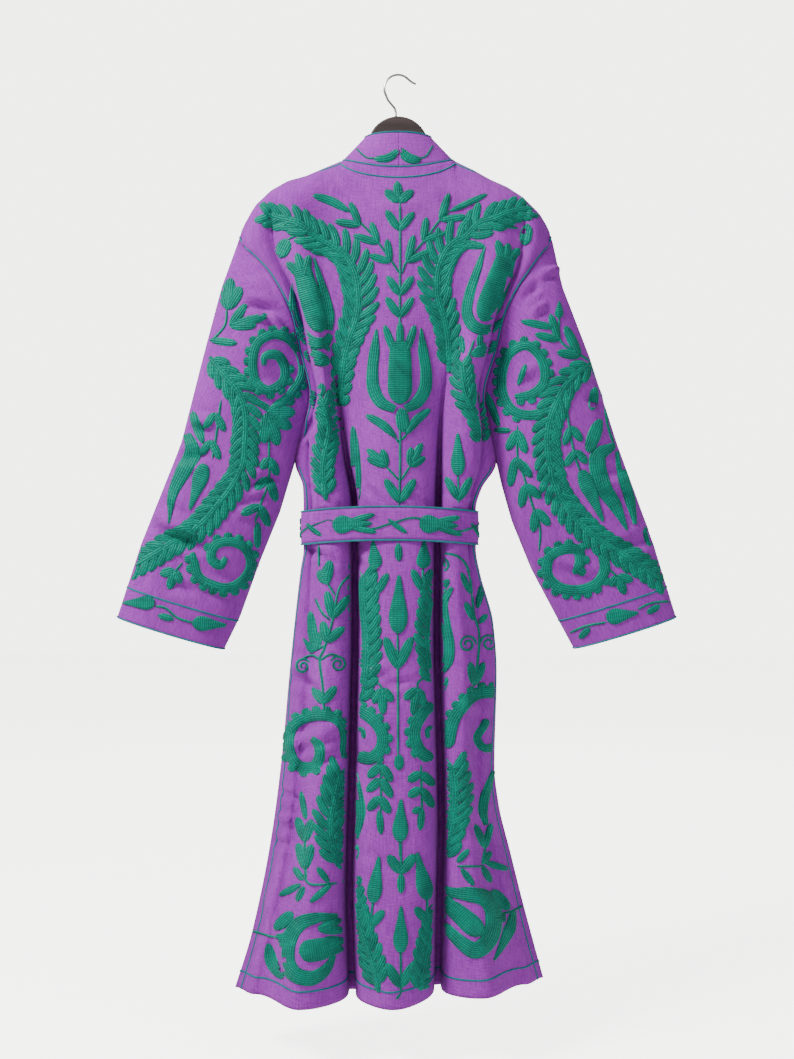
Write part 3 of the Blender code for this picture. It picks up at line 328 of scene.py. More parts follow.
def gridPiece(name, points, material, facing, closed=False, thick=0.0):
    # A cloth piece from a grid of points, its front side turned towards facing, with its cut's size as UV.
    rows, columns = points.shape[:2]
    across, down = lengthAlong(points, 1), lengthAlong(points)
    across -= across[:, columns // 2][:, None]
    wide = columns - 1 if closed else columns
    normals = faceNormals(points)
    if closed:
        middle = points[:, :wide].mean(1)[:-1, None]
        outward = ((points[:-1, :-1] - middle) * normals).sum()
    else:
        outward = (normals * np.array(facing)).sum()
    corners = faceCorners(rows, columns, outward < 0)
    faces = np.stack([k * wide + (j % wide) for k, j in corners], 1)
    mesh = bpy.data.meshes.new(name)
    mesh.from_pydata(points[:, :wide].reshape(-1, 3).tolist(), [], faces.tolist())
    uv = np.stack([np.stack([across[k, j], -down[k, j]], 1) for k, j in corners], 1)
    layer = mesh.uv_layers.new(name="UVMap")
    layer.data.foreach_set("uv", uv.astype(np.float32).ravel())
    mesh.materials.append(material)
    mesh.shade_smooth()
    piece = putInScene(name, mesh)
    if thick:
        wall = piece.modifiers.new("clothWall", "SOLIDIFY")
        wall.thickness, wall.offset = thick, -1
        wall.use_rim = True
    return piece


def gridNormals(points, facing, closed=False):
    # Unit normals at a grid's points, towards facing.
    across = np.gradient(points, axis=1)
    if closed:
        across[:, 0] = across[:, -1] = points[:, 1] - points[:, -2]
    down = np.gradient(points, axis=0)
    normals = unit(np.cross(across, down))
    if closed:
        out = ((points - points[:, :-1].mean(1)[:, None]) * normals).sum()
    else:
        out = (normals * np.array(facing)).sum()
    return normals if out > 0 else -normals


def creased(points, normals, creases, share):
    # Moves a grid's points in and out along soft creases: x0, z0, x1, z1, half width, height.
    x, z = points[..., 0], points[..., 2]
    move = np.zeros(x.shape)
    for x0, z0, x1, z1, half, height in creases:
        dx, dz = x1 - x0, z1 - z0
        length = math.hypot(dx, dz)
        t = ((x - x0) * dx + (z - z0) * dz) / length**2
        away = np.hypot(x - x0 - dx * np.clip(t, 0, 1), z - z0 - dz * np.clip(t, 0, 1))
        fade = np.sin(math.pi * np.clip(t * 0.92 + 0.04, 0, 1)) ** 0.7
        bell = np.exp(-((away / half) ** 2)) - 0.45 * np.exp(-(((away - 1.7 * half) / (0.8 * half)) ** 2))
        move += robe["creased"] * height * fade * bell
    return points + normals * (move * share)[..., None]


# Finishes

def addNode(tree, kind, inputs=None, **settings):
    made = tree.nodes.new(kind)
    for key, value in settings.items():
        setattr(made, key, value)
    for key, value in (inputs or {}).items():
        if isinstance(value, bpy.types.NodeSocket):
            tree.links.new(value, made.inputs[key])
        else:
            made.inputs[key].default_value = value
    return made


def newGroup(name, inputs, outputs):
    group = bpy.data.node_groups.new(name, "ShaderNodeTree")
    for label, kind, value in inputs:
        group.interface.new_socket(name=label, in_out="INPUT", socket_type=kind).default_value = value
    for label, kind in outputs:
        group.interface.new_socket(name=label, in_out="OUTPUT", socket_type=kind)
    return group, group.nodes.new("NodeGroupInput").outputs, group.nodes.new("NodeGroupOutput").inputs


def maths(tree, operation, a, b=0.0):
    return addNode(tree, "ShaderNodeMath", {0: a, 1: b}, operation=operation).outputs[0]


def blendColours(tree, share, a, b, mode="MIX"):
    mix = addNode(tree, "ShaderNodeMix", data_type="RGBA", blend_type=mode)
    for socket, value in ((mix.inputs[0], share), (mix.inputs[6], a), (mix.inputs[7], b)):
        if isinstance(value, bpy.types.NodeSocket):
            tree.links.new(value, socket)
        else:
            socket.default_value = value
    return mix.outputs[2]


def slubWeaveGroup():
    # Plain weave of uneven yarns, from the cloth's own size in metres.
    group, given, put = newGroup("slubWeave", [
        ("Light", "NodeSocketColor", (1, 1, 1, 1)), ("Shade", "NodeSocketColor", (0.5, 0.5, 0.5, 1)),
        ("Yarn spacing", "NodeSocketFloat", 0.0009), ("Slub", "NodeSocketFloat", 1.0),
        ("Rumple", "NodeSocketFloat", 0.0),
    ], [("Colour", "NodeSocketColor"), ("Roughness", "NodeSocketFloat"), ("Height", "NodeSocketFloat")])
    place = addNode(group, "ShaderNodeUVMap", uv_map="UVMap").outputs[0]
    split = addNode(group, "ShaderNodeSeparateXYZ", {0: place})
    wefts = addNode(group, "ShaderNodeMapping", {"Vector": place, "Scale": (55.0, 620.0, 1.0)})
    warps = addNode(group, "ShaderNodeMapping", {"Vector": place, "Scale": (560.0, 42.0, 1.0)})
    weftNoise = addNode(group, "ShaderNodeTexNoise",
                        {"Vector": wefts.outputs[0], "Scale": 1.0, "Detail": 3.0})
    warpNoise = addNode(group, "ShaderNodeTexNoise",
                        {"Vector": warps.outputs[0], "Scale": 1.0, "Detail": 3.0})
    dye = addNode(group, "ShaderNodeTexNoise", {"Vector": place, "Scale": 9.0, "Detail": 4.0})
    grain = addNode(group, "ShaderNodeTexNoise", {"Vector": place, "Scale": 420.0, "Detail": 2.0})
    slubs = maths(group, "ADD", weftNoise.outputs[0], warpNoise.outputs[0])
    tone = maths(group, "ADD", maths(group, "MULTIPLY", slubs, 0.9),
                 maths(group, "MULTIPLY", dye.outputs[0], 0.5))
    tone = maths(group, "ADD", tone, maths(group, "MULTIPLY", grain.outputs[0], 0.7))
    ramp = addNode(group, "ShaderNodeMapRange", {0: tone, 1: 1.12, 2: 2.0, 3: 0.0, 4: 1.0}).outputs[0]
    group.links.new(blendColours(group, ramp, given["Shade"], given["Light"]), put["Colour"])
    turnX = maths(group, "DIVIDE", split.outputs[0], given["Yarn spacing"])
    turnY = maths(group, "DIVIDE", split.outputs[1], given["Yarn spacing"])
    waveX = maths(group, "SINE", maths(group, "MULTIPLY", turnX, math.pi))
    waveY = maths(group, "SINE", maths(group, "MULTIPLY", turnY, math.pi))
    weave = maths(group, "MULTIPLY", waveX, waveY)
    height = maths(group, "ADD", maths(group, "MULTIPLY", weave, 0.25),
                   maths(group, "MULTIPLY", slubs, given["Slub"]))
    rumple = addNode(group, "ShaderNodeTexNoise",
                     {"Vector": place, "Scale": 26.0, "Detail": 3.0, "Distortion": 0.4}).outputs[0]
    height = maths(group, "ADD", height, maths(group, "MULTIPLY", rumple, given["Rumple"]))
    group.links.new(height, put["Height"])
    rough = addNode(group, "ShaderNodeMapRange", {0: slubs, 1: 0.7, 2: 1.3, 3: 0.95, 4: 0.78}).outputs[0]
    group.links.new(rough, put["Roughness"])
    return group


def chainStitchGroup():
    # Rows of chain stitch. The rows run along V, side by side across U, both in metres. The colour is painted
    # shade: darker in the low grooves between rows and links and lighter on the raised loops, with random
    # tufts of tone.
    group, given, put = newGroup("chainStitch", [
        ("Light", "NodeSocketColor", (1, 1, 1, 1)), ("Groove shade", "NodeSocketColor", (0.2, 0.2, 0.2, 1)),
        ("Row width", "NodeSocketFloat", 0.0031), ("Link length", "NodeSocketFloat", 0.0055),
    ], [("Colour", "NodeSocketColor"), ("Roughness", "NodeSocketFloat"), ("Height", "NodeSocketFloat")])
    place = addNode(group, "ShaderNodeUVMap", uv_map="UVMap").outputs[0]
    wobble = addNode(group, "ShaderNodeTexNoise", {"Vector": place, "Scale": 240.0, "Detail": 1.0}).outputs[0]
    split = addNode(group, "ShaderNodeSeparateXYZ", {0: place})
    across = maths(group, "ADD", maths(group, "DIVIDE", split.outputs[0], given["Row width"]),
                   maths(group, "MULTIPLY", wobble, 0.5))
    row = maths(group, "PINGPONG", across, 0.5)
    along = maths(group, "ADD", maths(group, "DIVIDE", split.outputs[1], given["Link length"]),
                  maths(group, "MULTIPLY", row, 0.9))
    link = maths(group, "PINGPONG", along, 0.5)
    ridge = maths(group, "SMOOTH_MIN", maths(group, "MULTIPLY", row, 2.0), 0.8)
    height = maths(group, "MULTIPLY", ridge, maths(group, "ADD", maths(group, "MULTIPLY", link, 0.9), 0.55))
    tuft = addNode(group, "ShaderNodeTexNoise", {"Vector": place, "Scale": 38.0, "Detail": 2.0}).outputs[0]
    # painted shade: the thread's colour darkens where the stitch is low, in the grooves between rows and
    # links; the tufts add random tone
    tone = maths(group, "ADD", maths(group, "MULTIPLY", height, 0.62), maths(group, "MULTIPLY", tuft, 0.75))
    ramp = addNode(group, "ShaderNodeMapRange", {0: tone, 1: 0.18, 2: 0.95, 3: 0.0, 4: 1.0}).outputs[0]
    group.links.new(blendColours(group, ramp, given["Groove shade"], given["Light"]), put["Colour"])
    group.links.new(height, put["Height"])
    rough = addNode(group, "ShaderNodeMapRange", {0: height, 1: 0.0, 2: 1.0, 3: 0.85, 4: 0.58}).outputs[0]
    group.links.new(rough, put["Roughness"])
    return group


def newMaterial(name):
    material = bpy.data.materials.new(name)
    material.use_nodes = True
    return material, material.node_tree, material.node_tree.nodes["Principled BSDF"]


def clothMaterial(name, group, values, bump, sheen, sheenTint, specular=0.1):
    material, tree, shader = newMaterial(name)
    effect = addNode(tree, "ShaderNodeGroup", node_tree=group)
    for key, value in values.items():
        effect.inputs[key].default_value = value
    relief = addNode(tree, "ShaderNodeBump",
                     {"Height": effect.outputs["Height"], "Distance": bump, "Strength": 0.9})
    tree.links.new(effect.outputs["Colour"], shader.inputs["Base Color"])
    tree.links.new(effect.outputs["Roughness"], shader.inputs["Roughness"])
    tree.links.new(relief.outputs[0], shader.inputs["Normal"])
    shader.inputs["Sheen Weight"].default_value = sheen
    shader.inputs["Sheen Roughness"].default_value = 0.5
    shader.inputs["Sheen Tint"].default_value = sheenTint
    shader.inputs["Specular IOR Level"].default_value = specular
    return material


finish = {
    "orchidLight": (0.370, 0.050, 0.470, 1), "orchidShade": (0.165, 0.016, 0.262, 1),
    "yarn": 0.0009, "slub": 0.6, "rumple": 4.5,
    # each thread's second colour is painted shade for the grooves between its stitches
    "emeraldLight": (0.000, 0.235, 0.160, 1), "emeraldGrooveShade": (0.000, 0.050, 0.042, 1),
    "tealLight": (0.016, 0.190, 0.230, 1), "tealGrooveShade": (0.006, 0.070, 0.110, 1),
}
slubWeave, chainStitch = slubWeaveGroup(), chainStitchGroup()
orchid = clothMaterial("orchidCotton", slubWeave, {
    "Light": finish["orchidLight"], "Shade": finish["orchidShade"], "Yarn spacing": finish["yarn"],
    "Slub": finish["slub"], "Rumple": finish["rumple"]}, 0.0005, 0.06, (0.9, 0.75, 0.95, 1))
emerald = clothMaterial("emeraldChainStitch", chainStitch, {
    "Light": finish["emeraldLight"], "Groove shade": finish["emeraldGrooveShade"]}, 0.0016, 0.03, (0.6, 0.95, 0.8, 1), 0.16)
teal = clothMaterial("tealChainLine", chainStitch, {
    "Light": finish["tealLight"], "Groove shade": finish["tealGrooveShade"], "Row width": 0.0016, "Link length": 0.0032},
    0.0006, 0.03, (0.6, 0.8, 0.9, 1), 0.16)


def boardMaterial():
    material, tree, shader = newMaterial("blackBoard")
    place = addNode(tree, "ShaderNodeTexCoord").outputs["Object"]
    stretched = addNode(tree, "ShaderNodeMapping", {"Vector": place, "Scale": (9.0, 160.0, 130.0)})
    grain = addNode(tree, "ShaderNodeTexNoise",
                    {"Vector": stretched.outputs[0], "Scale": 1.0, "Detail": 5.0}).outputs[0]
    tree.links.new(blendColours(tree, grain, (0.016, 0.010, 0.010, 1), (0.060, 0.040, 0.040, 1)),
                   shader.inputs["Base Color"])
    tree.links.new(addNode(tree, "ShaderNodeMapRange", {0: grain, 3: 0.32, 4: 0.52}).outputs[0],
                   shader.inputs["Roughness"])
    relief = addNode(tree, "ShaderNodeBump", {"Height": grain, "Distance": 0.0002, "Strength": 0.5})
    tree.links.new(relief.outputs[0], shader.inputs["Normal"])
    return material


def wireMaterial():
    material, tree, shader = newMaterial("brightWire")
    place = addNode(tree, "ShaderNodeTexCoord").outputs["Object"]
    worn = addNode(tree, "ShaderNodeTexNoise", {"Vector": place, "Scale": 420.0, "Detail": 3.0}).outputs[0]
    shader.inputs["Metallic"].default_value = 1.0
    tree.links.new(blendColours(tree, worn, (0.20, 0.20, 0.21, 1), (0.46, 0.46, 0.47, 1)),
                   shader.inputs["Base Color"])
    tree.links.new(addNode(tree, "ShaderNodeMapRange", {0: worn, 3: 0.16, 4: 0.38}).outputs[0],
                   shader.inputs["Roughness"])
    return material


for nodeName, material, slotName in (("hanger", boardMaterial(), "black_board"),
                                     ("hook", wireMaterial(), "bright_wire")):
    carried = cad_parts[nodeName]
    carried.data.materials.clear()
    carried.data.materials.append(material)
print("finishes made")


# The panels: one back, two fronts, two sleeves and the neckband in two halves

panelRows = {"armhole": 62, "waist": 22, "belt": 10, "skirt": 116}
backCounts = (9, 34, 42, 34, 9)  # columns across each swell


def panelHeights(startX, waistX, hemX):
    # Heights of every row in each column: down the armhole, past the belt and on to the hem.
    top, under = topZ(startX), robe["underarmZ"]
    middle = beltZ(np.clip(waistX, belt["x"] - belt["halfX"], belt["x"] + belt["halfX"]))
    beltTop, beltFoot = middle + belt["width"] / 2, middle - belt["width"] / 2
    end = robe["hemZ"] + hemLift(hemX)
    turns = np.linspace(0, math.pi, panelRows["armhole"] + 1)
    rows = [top + (under - top) * (1 - math.cos(t)) / 2 for t in turns]
    for key, start, stop in (("waist", under, beltTop), ("belt", beltTop, beltFoot),
                             ("skirt", beltFoot, end)):
        rows += [start + (stop - start) * i / panelRows[key] for i in range(1, panelRows[key] + 1)]
    return np.array(rows)


def shoulderX(placeX, count):
    # Where each column meets the shoulder line, found by stepping towards it.
    z = np.full(count, -0.150)
    for turn in range(14):
        z = topZ(placeX(z))
    return placeX(z)


def backGrid():
    columns = []
    for swell, count in enumerate(backCounts):
        for i in range(count + 1):
            if (swell, i) not in ((1, 0), (4, 0)):
                share = i / count
                rounded = 0.5 - 0.5 * math.cos(math.pi * share)
                columns.append((swell, rounded if swell in (1, 2, 3) else share))
    swell, share = np.array(columns).T
    starts = [shoulderX(lambda z: backPoint(swell, share, z)[0], len(swell))]
    starts += [backPoint(swell, share, np.full(len(swell), z))[0] for z in (belt["z"], robe["hemZ"])]
    grid = []
    for z in panelHeights(*starts):
        x, y = backPoint(swell, share, z)
        grid.append(np.stack([x, y, z], 1))
    grid = np.array(grid)
    grid[:, [0, -1], 1] -= robe["seamGap"] / 2
    grid[0, :, 1] = topY(grid[0, :, 0]) - robe["seamGap"] / 2
    return grid


def frontGrid(side, count=52):
    share = np.linspace(0, 1, count + 1)

    def placeX(z):
        edgeX = frontEdge(side, z)[0]
        return edgeX + (side * through(frontSeam, z) - edgeX) * share

    ends = [shoulderX(placeX, count + 1)]
    ends += [placeX(np.full(count + 1, z)) for z in (belt["z"], robe["hemZ"])]
    grid = []
    for z in panelHeights(*ends):
        x, edgeY = placeX(z), frontEdge(side, z)[1]
        grid.append(np.stack([x, np.where(share == 0, edgeY, frontY(x, z, side)), z], 1))
    grid = np.array(grid)
    grid[:, 0, 1] += robe["seamGap"] / 2
    grid[0, :, 1] = robe["seamGap"] / 2
    return grid


def sleeveGrid(side, turns=panelRows["armhole"], rows=120):
    turn = np.linspace(0, math.pi, turns + 1)
    z = robe["tipZ"] + (robe["underarmZ"] - robe["tipZ"]) * (1 - np.cos(turn)) / 2
    curves = [np.stack([*edgeLine(side, z), z], 1), np.stack([*frontEdge(side, z), z], 1)]
    table = sleeves[side]

    def section(share, facing):
        values = [np.interp(share, table[:, 0], table[:, c]) for c in range(1, 7)]
        outerX, outerZ, innerX, innerZ, atBack, atFront = values
        outer, inner = np.array([outerX, 0, outerZ]), np.array([innerX, 0, innerZ])
        c, s = np.cos(turn)[:, None], np.sin(turn)[:, None]
        deep = atBack if facing < 0 else atFront
        return (outer + inner) / 2 + (outer - inner) / 2 * c + np.array([0, facing * deep, 0]) * s**0.8

    rings = []
    for share in np.linspace(0, 1, rows + 1):
        fade = max(1 - share / 0.42, 0) ** 2
        ring = [section(share, facing) + (seam - section(0.0, facing)) * fade
                for seam, facing in zip(curves, (-1, 1))]
        rings.append(np.concatenate([ring[0], ring[1][::-1][1:]]))
    grid = np.array(rings)
    grid[:, -1] = grid[:, 0]
    return grid


def neckbandGrid(side, across=8):
    turn = np.linspace(0, math.pi, 47)
    neckX, neckY = -robe["neckHalf"] * np.cos(turn), robe["neckBackY"] * np.sin(turn)
    collarX, collarY = -collar["topHalf"] * np.cos(turn), collar["topY"] * np.sin(turn)
    middle = collar["seamX"] + side * robe["seamGap"] / 2
    seam = [(middle, np.interp(middle, neckX, neckY), float(topZ(middle)))]
    free = [(middle, np.interp(middle, collarX, collarY), collar["topZ"])]
    for i in range(len(turn)) if side > 0 else range(len(turn) - 1, -1, -1):
        if middle * side + 0.001 < side * neckX[i] < robe["neckHalf"] - 0.0001:
            seam.append((neckX[i], neckY[i], float(topZ(neckX[i]))))
            free.append((collarX[i], collarY[i], collar["topZ"] - 0.002 * (neckX[i] / robe["neckHalf"]) ** 2))
    start = np.array([side * robe["neckHalf"]])
    waist, hem = [np.array([side * through(frontSeam, z)]) for z in (belt["z"], robe["hemZ"])]
    for z in panelHeights(start, waist, hem)[:, 0]:
        x = side * float(through(frontSeam, z))
        freeX = x + side * float(through(neckbandSteps, z, 1))
        y = float(frontY(x, z, side))
        freeY = float(frontY(freeX, z, side)) if z < -0.2 else y + 0.001
        seam.append((x, y, z))
        free.append((freeX, freeY, z + float(through(neckbandSteps, z, 2))))
    seam, free = np.array(seam, float), np.array(free, float)
    share = np.linspace(0, 1, across + 1)[:, None]
    grid = seam[:, None] * (1 - share) + free[:, None] * share
    down = seam[:, 2] < -0.2
    grid[down, 1:-1, 1] = frontY(grid[down, 1:-1, 0], grid[down, 1:-1, 2], side)
    return grid


wrinkles = {  # soft creases: x0, z0, x1, z1, half width, height
    "back": [
        (-0.150, -0.190, -0.060, -0.250, 0.010, -0.0016), (0.060, -0.180, 0.150, -0.240, 0.011, -0.0015),
        (-0.030, -0.200, 0.040, -0.195, 0.009, 0.0010), (-0.190, -0.560, -0.110, -0.500, 0.007, -0.0022),
        (-0.125, -0.590, -0.085, -0.625, 0.005, 0.0016), (0.070, -0.600, 0.105, -0.620, 0.005, 0.0015),
        (-0.045, -0.600, -0.020, -0.628, 0.005, -0.0012), (0.012, -0.605, 0.035, -0.628, 0.005, -0.0012),
        (-0.130, -0.690, -0.085, -0.712, 0.006, -0.0018), (-0.055, -0.690, -0.030, -0.720, 0.006, 0.0012),
        (0.066, -0.690, 0.095, -0.725, 0.006, 0.0014), (-0.165, -0.850, -0.120, -0.865, 0.008, 0.0022),
        (-0.170, -0.872, -0.110, -0.890, 0.007, -0.0020), (-0.165, -0.980, -0.080, -0.935, 0.008, 0.0024),
        (-0.150, -1.010, -0.075, -0.975, 0.009, -0.0020), (-0.050, -0.865, -0.010, -0.850, 0.006, 0.0012),
        (-0.020, -0.880, 0.030, -0.872, 0.006, -0.0012), (0.085, -0.905, 0.130, -0.925, 0.008, 0.0016),
        (-0.178, -1.040, -0.140, -1.050, 0.006, -0.0022), (-0.182, -1.075, -0.145, -1.082, 0.006, 0.0022),
        (-0.190, -1.112, -0.155, -1.116, 0.006, -0.0020), (-0.048, -1.110, 0.000, -1.140, 0.008, -0.0014),
        (-0.190, -1.180, -0.140, -1.300, 0.014, 0.0022), (0.120, -1.180, 0.170, -1.290, 0.014, 0.0020),
        (-0.020, -1.240, -0.012, -1.320, 0.010, 0.0010), (0.090, -1.060, 0.125, -1.100, 0.008, -0.0016),
    ],
    "front": [
        (-0.150, -0.230, -0.090, -0.300, 0.012, -0.0018), (0.090, -0.230, 0.150, -0.290, 0.012, -0.0018),
        (-0.130, -0.560, -0.085, -0.620, 0.007, 0.0018), (0.080, -0.590, 0.110, -0.625, 0.006, 0.0016),
        (-0.110, -0.690, -0.070, -0.740, 0.007, -0.0018), (0.060, -0.690, 0.100, -0.750, 0.008, 0.0016),
        (-0.150, -0.900, -0.090, -0.930, 0.009, 0.0018), (0.070, -0.960, 0.130, -0.990, 0.009, -0.0018),
        (-0.180, -1.160, -0.120, -1.260, 0.012, 0.0020), (0.110, -1.150, 0.160, -1.270, 0.012, 0.0018),
    ],
    "sleeveLeft": [
        (-0.216, -0.336, -0.166, -0.350, 0.007, -0.0045), (-0.184, -0.352, -0.158, -0.386, 0.006, 0.0036),
        (-0.210, -0.300, -0.180, -0.322, 0.008, 0.0026), (-0.200, -0.455, -0.160, -0.470, 0.009, 0.0022),
        (-0.300, -0.500, -0.262, -0.512, 0.008, 0.0026), (-0.318, -0.560, -0.270, -0.556, 0.009, -0.0022),
        (-0.215, -0.600, -0.170, -0.585, 0.007, -0.0026), (-0.230, -0.640, -0.185, -0.628, 0.007, 0.0022),
        (-0.352, -0.640, -0.290, -0.665, 0.010, 0.0028), (-0.345, -0.668, -0.270, -0.690, 0.009, -0.0024),
        (-0.280, -0.735, -0.235, -0.752, 0.008, 0.0018), (-0.330, -0.740, -0.290, -0.752, 0.008, -0.0016),
    ],
    "sleeveRight": [
        (0.203, -0.292, 0.234, -0.284, 0.006, 0.0034), (0.176, -0.328, 0.203, -0.312, 0.007, -0.0036),
        (0.190, -0.350, 0.214, -0.338, 0.006, 0.0024), (0.170, -0.440, 0.200, -0.430, 0.008, 0.0020),
        (0.270, -0.470, 0.300, -0.485, 0.008, -0.0022), (0.175, -0.560, 0.225, -0.590, 0.008, 0.0024),
        (0.190, -0.610, 0.240, -0.628, 0.008, -0.0022), (0.290, -0.600, 0.335, -0.590, 0.009, 0.0022),
        (0.230, -0.700, 0.280, -0.724, 0.009, 0.0022), (0.310, -0.690, 0.370, -0.672, 0.009, -0.0020),
    ],
}

grids = {}
facings = {key: (0, 1, 0) for key in ("frontRight", "frontLeft", "neckbandRight", "neckbandLeft", "endRight",
                                      "endLeft")}
facings["back"] = (0, -1, 0)
grids["back"] = backGrid()
grids["frontRight"], grids["frontLeft"] = frontGrid(1), frontGrid(-1)
for key in ("back", "frontRight", "frontLeft"):
    normals = gridNormals(grids[key], facings[key])
    rows, columns = [np.arange(n) for n in grids[key].shape[:2]]
    # the creases fade out towards the seams, which stay where they meet
    free = smooth(np.minimum(columns, columns[::-1]) / robe["fadeRows"])
    free = free * smooth(rows / robe["fadeRows"])[:, None]
    grids[key] = creased(grids[key], normals, wrinkles["back" if key == "back" else "front"], free)
for key, side in (("sleeveRight", 1), ("sleeveLeft", -1)):
    points = sleeveGrid(side)
    normals = gridNormals(points, None, closed=True)
    free = np.clip(np.linspace(0, 1, len(points)) / 0.06, 0, 1)[:, None]
    free = np.abs(free * np.clip(-normals[..., 1] * 1.6, -0.8, 1))
    grids[key] = creased(points, normals, wrinkles[key], free)
for key, side in (("neckbandRight", 1), ("neckbandLeft", -1)):
    grids[key] = neckbandGrid(side)

cloth = {}
nodeOf = {
    "back": "back", "frontRight": "front_right", "frontLeft": "front_left", "sleeveRight": "sleeve_right",
    "sleeveLeft": "sleeve_left", "neckbandRight": "neckband_right", "neckbandLeft": "neckband_left",
    "belt": "belt", "knot": "belt_knot", "endRight": "belt_end_right", "endLeft": "belt_end_left",
}


def dress(key):
    # The cloth that takes the place of one solid. Grids that face no way are closed all round.
    thick = robe["bandThick"] if key.startswith(("neckband", "belt", "end")) else robe["clothThick"]
    piece = gridPiece("cloth_" + nodeOf[key], grids[key], orchid, facings.get(key), key not in facings, thick)
    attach(piece, "root")
    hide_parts(nodeOf[key])
    cloth[key] = piece


for key in grids:
    dress(key)
print("panels made")


# The belt, its knot and its two ends

def beltGrid(steps=176, rows=9):
    x, y = beltRing(steps)
    x, y = np.append(x, x[0]), np.append(y, y[0])
    out = np.stack([x - belt["x"], y - belt["y"]])
    out /= np.linalg.norm(out, axis=0)
    grid = []
    for t in np.linspace(1, -1, rows):
        full = belt["swell"] * (1 - t**4)
        step = np.arange(len(x))
        ripple = belt["ripple"] * np.sin(step * 0.37 + 2.1 * t) * np.sin(step * 0.11)
        away = full + ripple - belt["swell"]
        grid.append(np.stack([x + out[0] * away, y + out[1] * away, beltZ(x) + belt["width"] / 2 * t], 1))
    grid = np.array(grid)
    grid[:, -1] = grid[:, 0]
    return grid


def knotGrid(steps=96, rows=44):
    # A half knot: the band wraps over itself, with creases that run slantwise into it.
    wide, deep, tall = belt["knot"]
    rings = []
    for v in np.linspace(-0.5 * math.pi, 0.5 * math.pi, rows):
        u = np.linspace(0, 2 * math.pi, steps + 1)
        rim = abs(math.cos(v)) ** 0.55
        up = math.copysign(abs(math.sin(v)) ** 0.75, math.sin(v))
        c, s = np.cos(u), np.sin(u)
        x = wide / 2 * (1 - 0.22 * up**2) * rim * np.sign(c) * np.abs(c) ** 0.8
        y = deep / 2 * rim * np.sign(s) * np.abs(s) ** 0.7
        z = np.full(len(u), tall / 2 * up)
        fold = np.abs(np.sin((z + 0.62 * x + 9 * x**2) / belt["knotPitch"])) ** 0.6
        y = y - np.clip(y / (deep / 2), 0, 1) * rim * belt["knotCrease"] * (1 - fold)
        front = belt["y"] + belt["halfY"] + deep / 2 + belt["clear"]
        rings.append(np.stack([belt["knotX"] + x, front + y, belt["z"] + z], 1))
    grid = np.array(rings)[::-1]
    grid[:, -1] = grid[:, 0]
    return grid


def endGrid(side, rows=64, columns=9):
    length = belt["ends"][side]
    start = belt["z"] - belt["knot"][2] / 2 - belt["clear"]
    front = belt["y"] + belt["halfY"] + belt["endAway"][side]
    grid = []
    for s in np.linspace(0, 1, rows):
        centre = belt["knotX"] + side * (0.011 + 0.024 * s)
        half = belt["endWidth"] / 2 * (0.42 + 0.58 * float(smooth(s * length / 0.15)))
        t = np.linspace(-1, 1, columns)
        gather = belt["endGather"] * np.cos(t * 5.0 + side) * (1 - float(smooth(s * length / 0.16)))
        y = front + belt["endWave"] * math.sin(5.2 * s * length / 0.43 + 0.4) + gather - belt["swell"]
        grid.append(np.stack([centre + half * t, y, np.full(columns, start - length * s)], 1))
    return np.array(grid)


grids["belt"], grids["knot"] = beltGrid(), knotGrid()
grids["endRight"], grids["endLeft"] = endGrid(1), endGrid(-1)
for key in ("belt", "knot", "endRight", "endLeft"):
    dress(key)
print("belt made")


# Embroidery

studio = {
    "cameraAt": (-0.0015, -1.9, -0.662), "photoHigh": 1.546, "floorZ": -1.42, "wall": 4.8, "room": 0.42,
    "floorGlow": 4.2, "paper": (1.0, 0.985, 0.955, 1),
    "lights": {  # place, aim, size, power, colour
        "window": ((-1.7, -1.15, 1.3), (0, 0, -0.65), 0.7, 152, (1.0, 0.985, 0.96)),
        "fill": ((1.9, -1.8, 0.1), (0, 0, -0.7), 2.0, 24, (0.96, 0.98, 1.0)),
        "behind": ((0.4, 2.4, 0.6), (0, 0, -0.6), 2.0, 26, (1, 1, 1)),
    },
}

# The embroidery is laid out on a drawing of the robe seen from behind, in steps of 1.46 mm from its top left.

stitch = {"step": 0.00146, "middle": 398.0, "hookAt": 75.8, "rise": 0.0021, "sample": 2.4, "stem": 1.35,
          "pitch": 11.0, "lean": 38.0, "scallop": 9.5, "lobeReach": 3.4, "lobeHalf": 4.9, "flattest": 0.30,
          "stretch": 3.4, "slack": 0.0015, "foldY": (-0.024, 0.0), "foldBelow": -0.52, "foldHalfX": 0.085}
leafShape = ((0, 0.22), (0.10, 0.62), (0.30, 0.95), (0.55, 1.0), (0.80, 0.85), (0.93, 0.58), (1, 0.22))
budShape = ((0, 0.30), (0.06, 0.68), (0.20, 0.98), (0.34, 1.0), (0.55, 0.72), (0.75, 0.44), (0.9, 0.30),
            (1, 0.15))
roundShape = ((0, 0.9), (0.6, 1.0), (0.82, 0.94), (0.94, 0.72), (1, 0.42))
evenShape = ((0, 0.45), (0.06, 1.0), (0.94, 1.0), (1, 0.45))


def curve(points):
    points = np.array(points, float)
    ends = np.concatenate([[2 * points[0] - points[1]], points, [2 * points[-1] - points[-2]]])
    t = np.linspace(0, 1, 9)[:-1, None]
    pieces = [0.5 * (2 * b + (c - a) * t + (2 * a - 5 * b + 4 * c - d) * t**2
                     + (3 * b - a - 3 * c + d) * t**3)
              for a, b, c, d in zip(ends, ends[1:], ends[2:], ends[3:])]
    dense = np.concatenate(pieces + [points[-1:]])
    length = lengthAlong(dense)
    knots = length[::8] / length[-1]
    share = np.linspace(0, 1, max(int(length[-1] / stitch["sample"]), 4) + 1)
    line = np.stack([np.interp(share * length[-1], length, dense[:, k]) for k in (0, 1)], 1)
    return line, share, knots, length[-1]


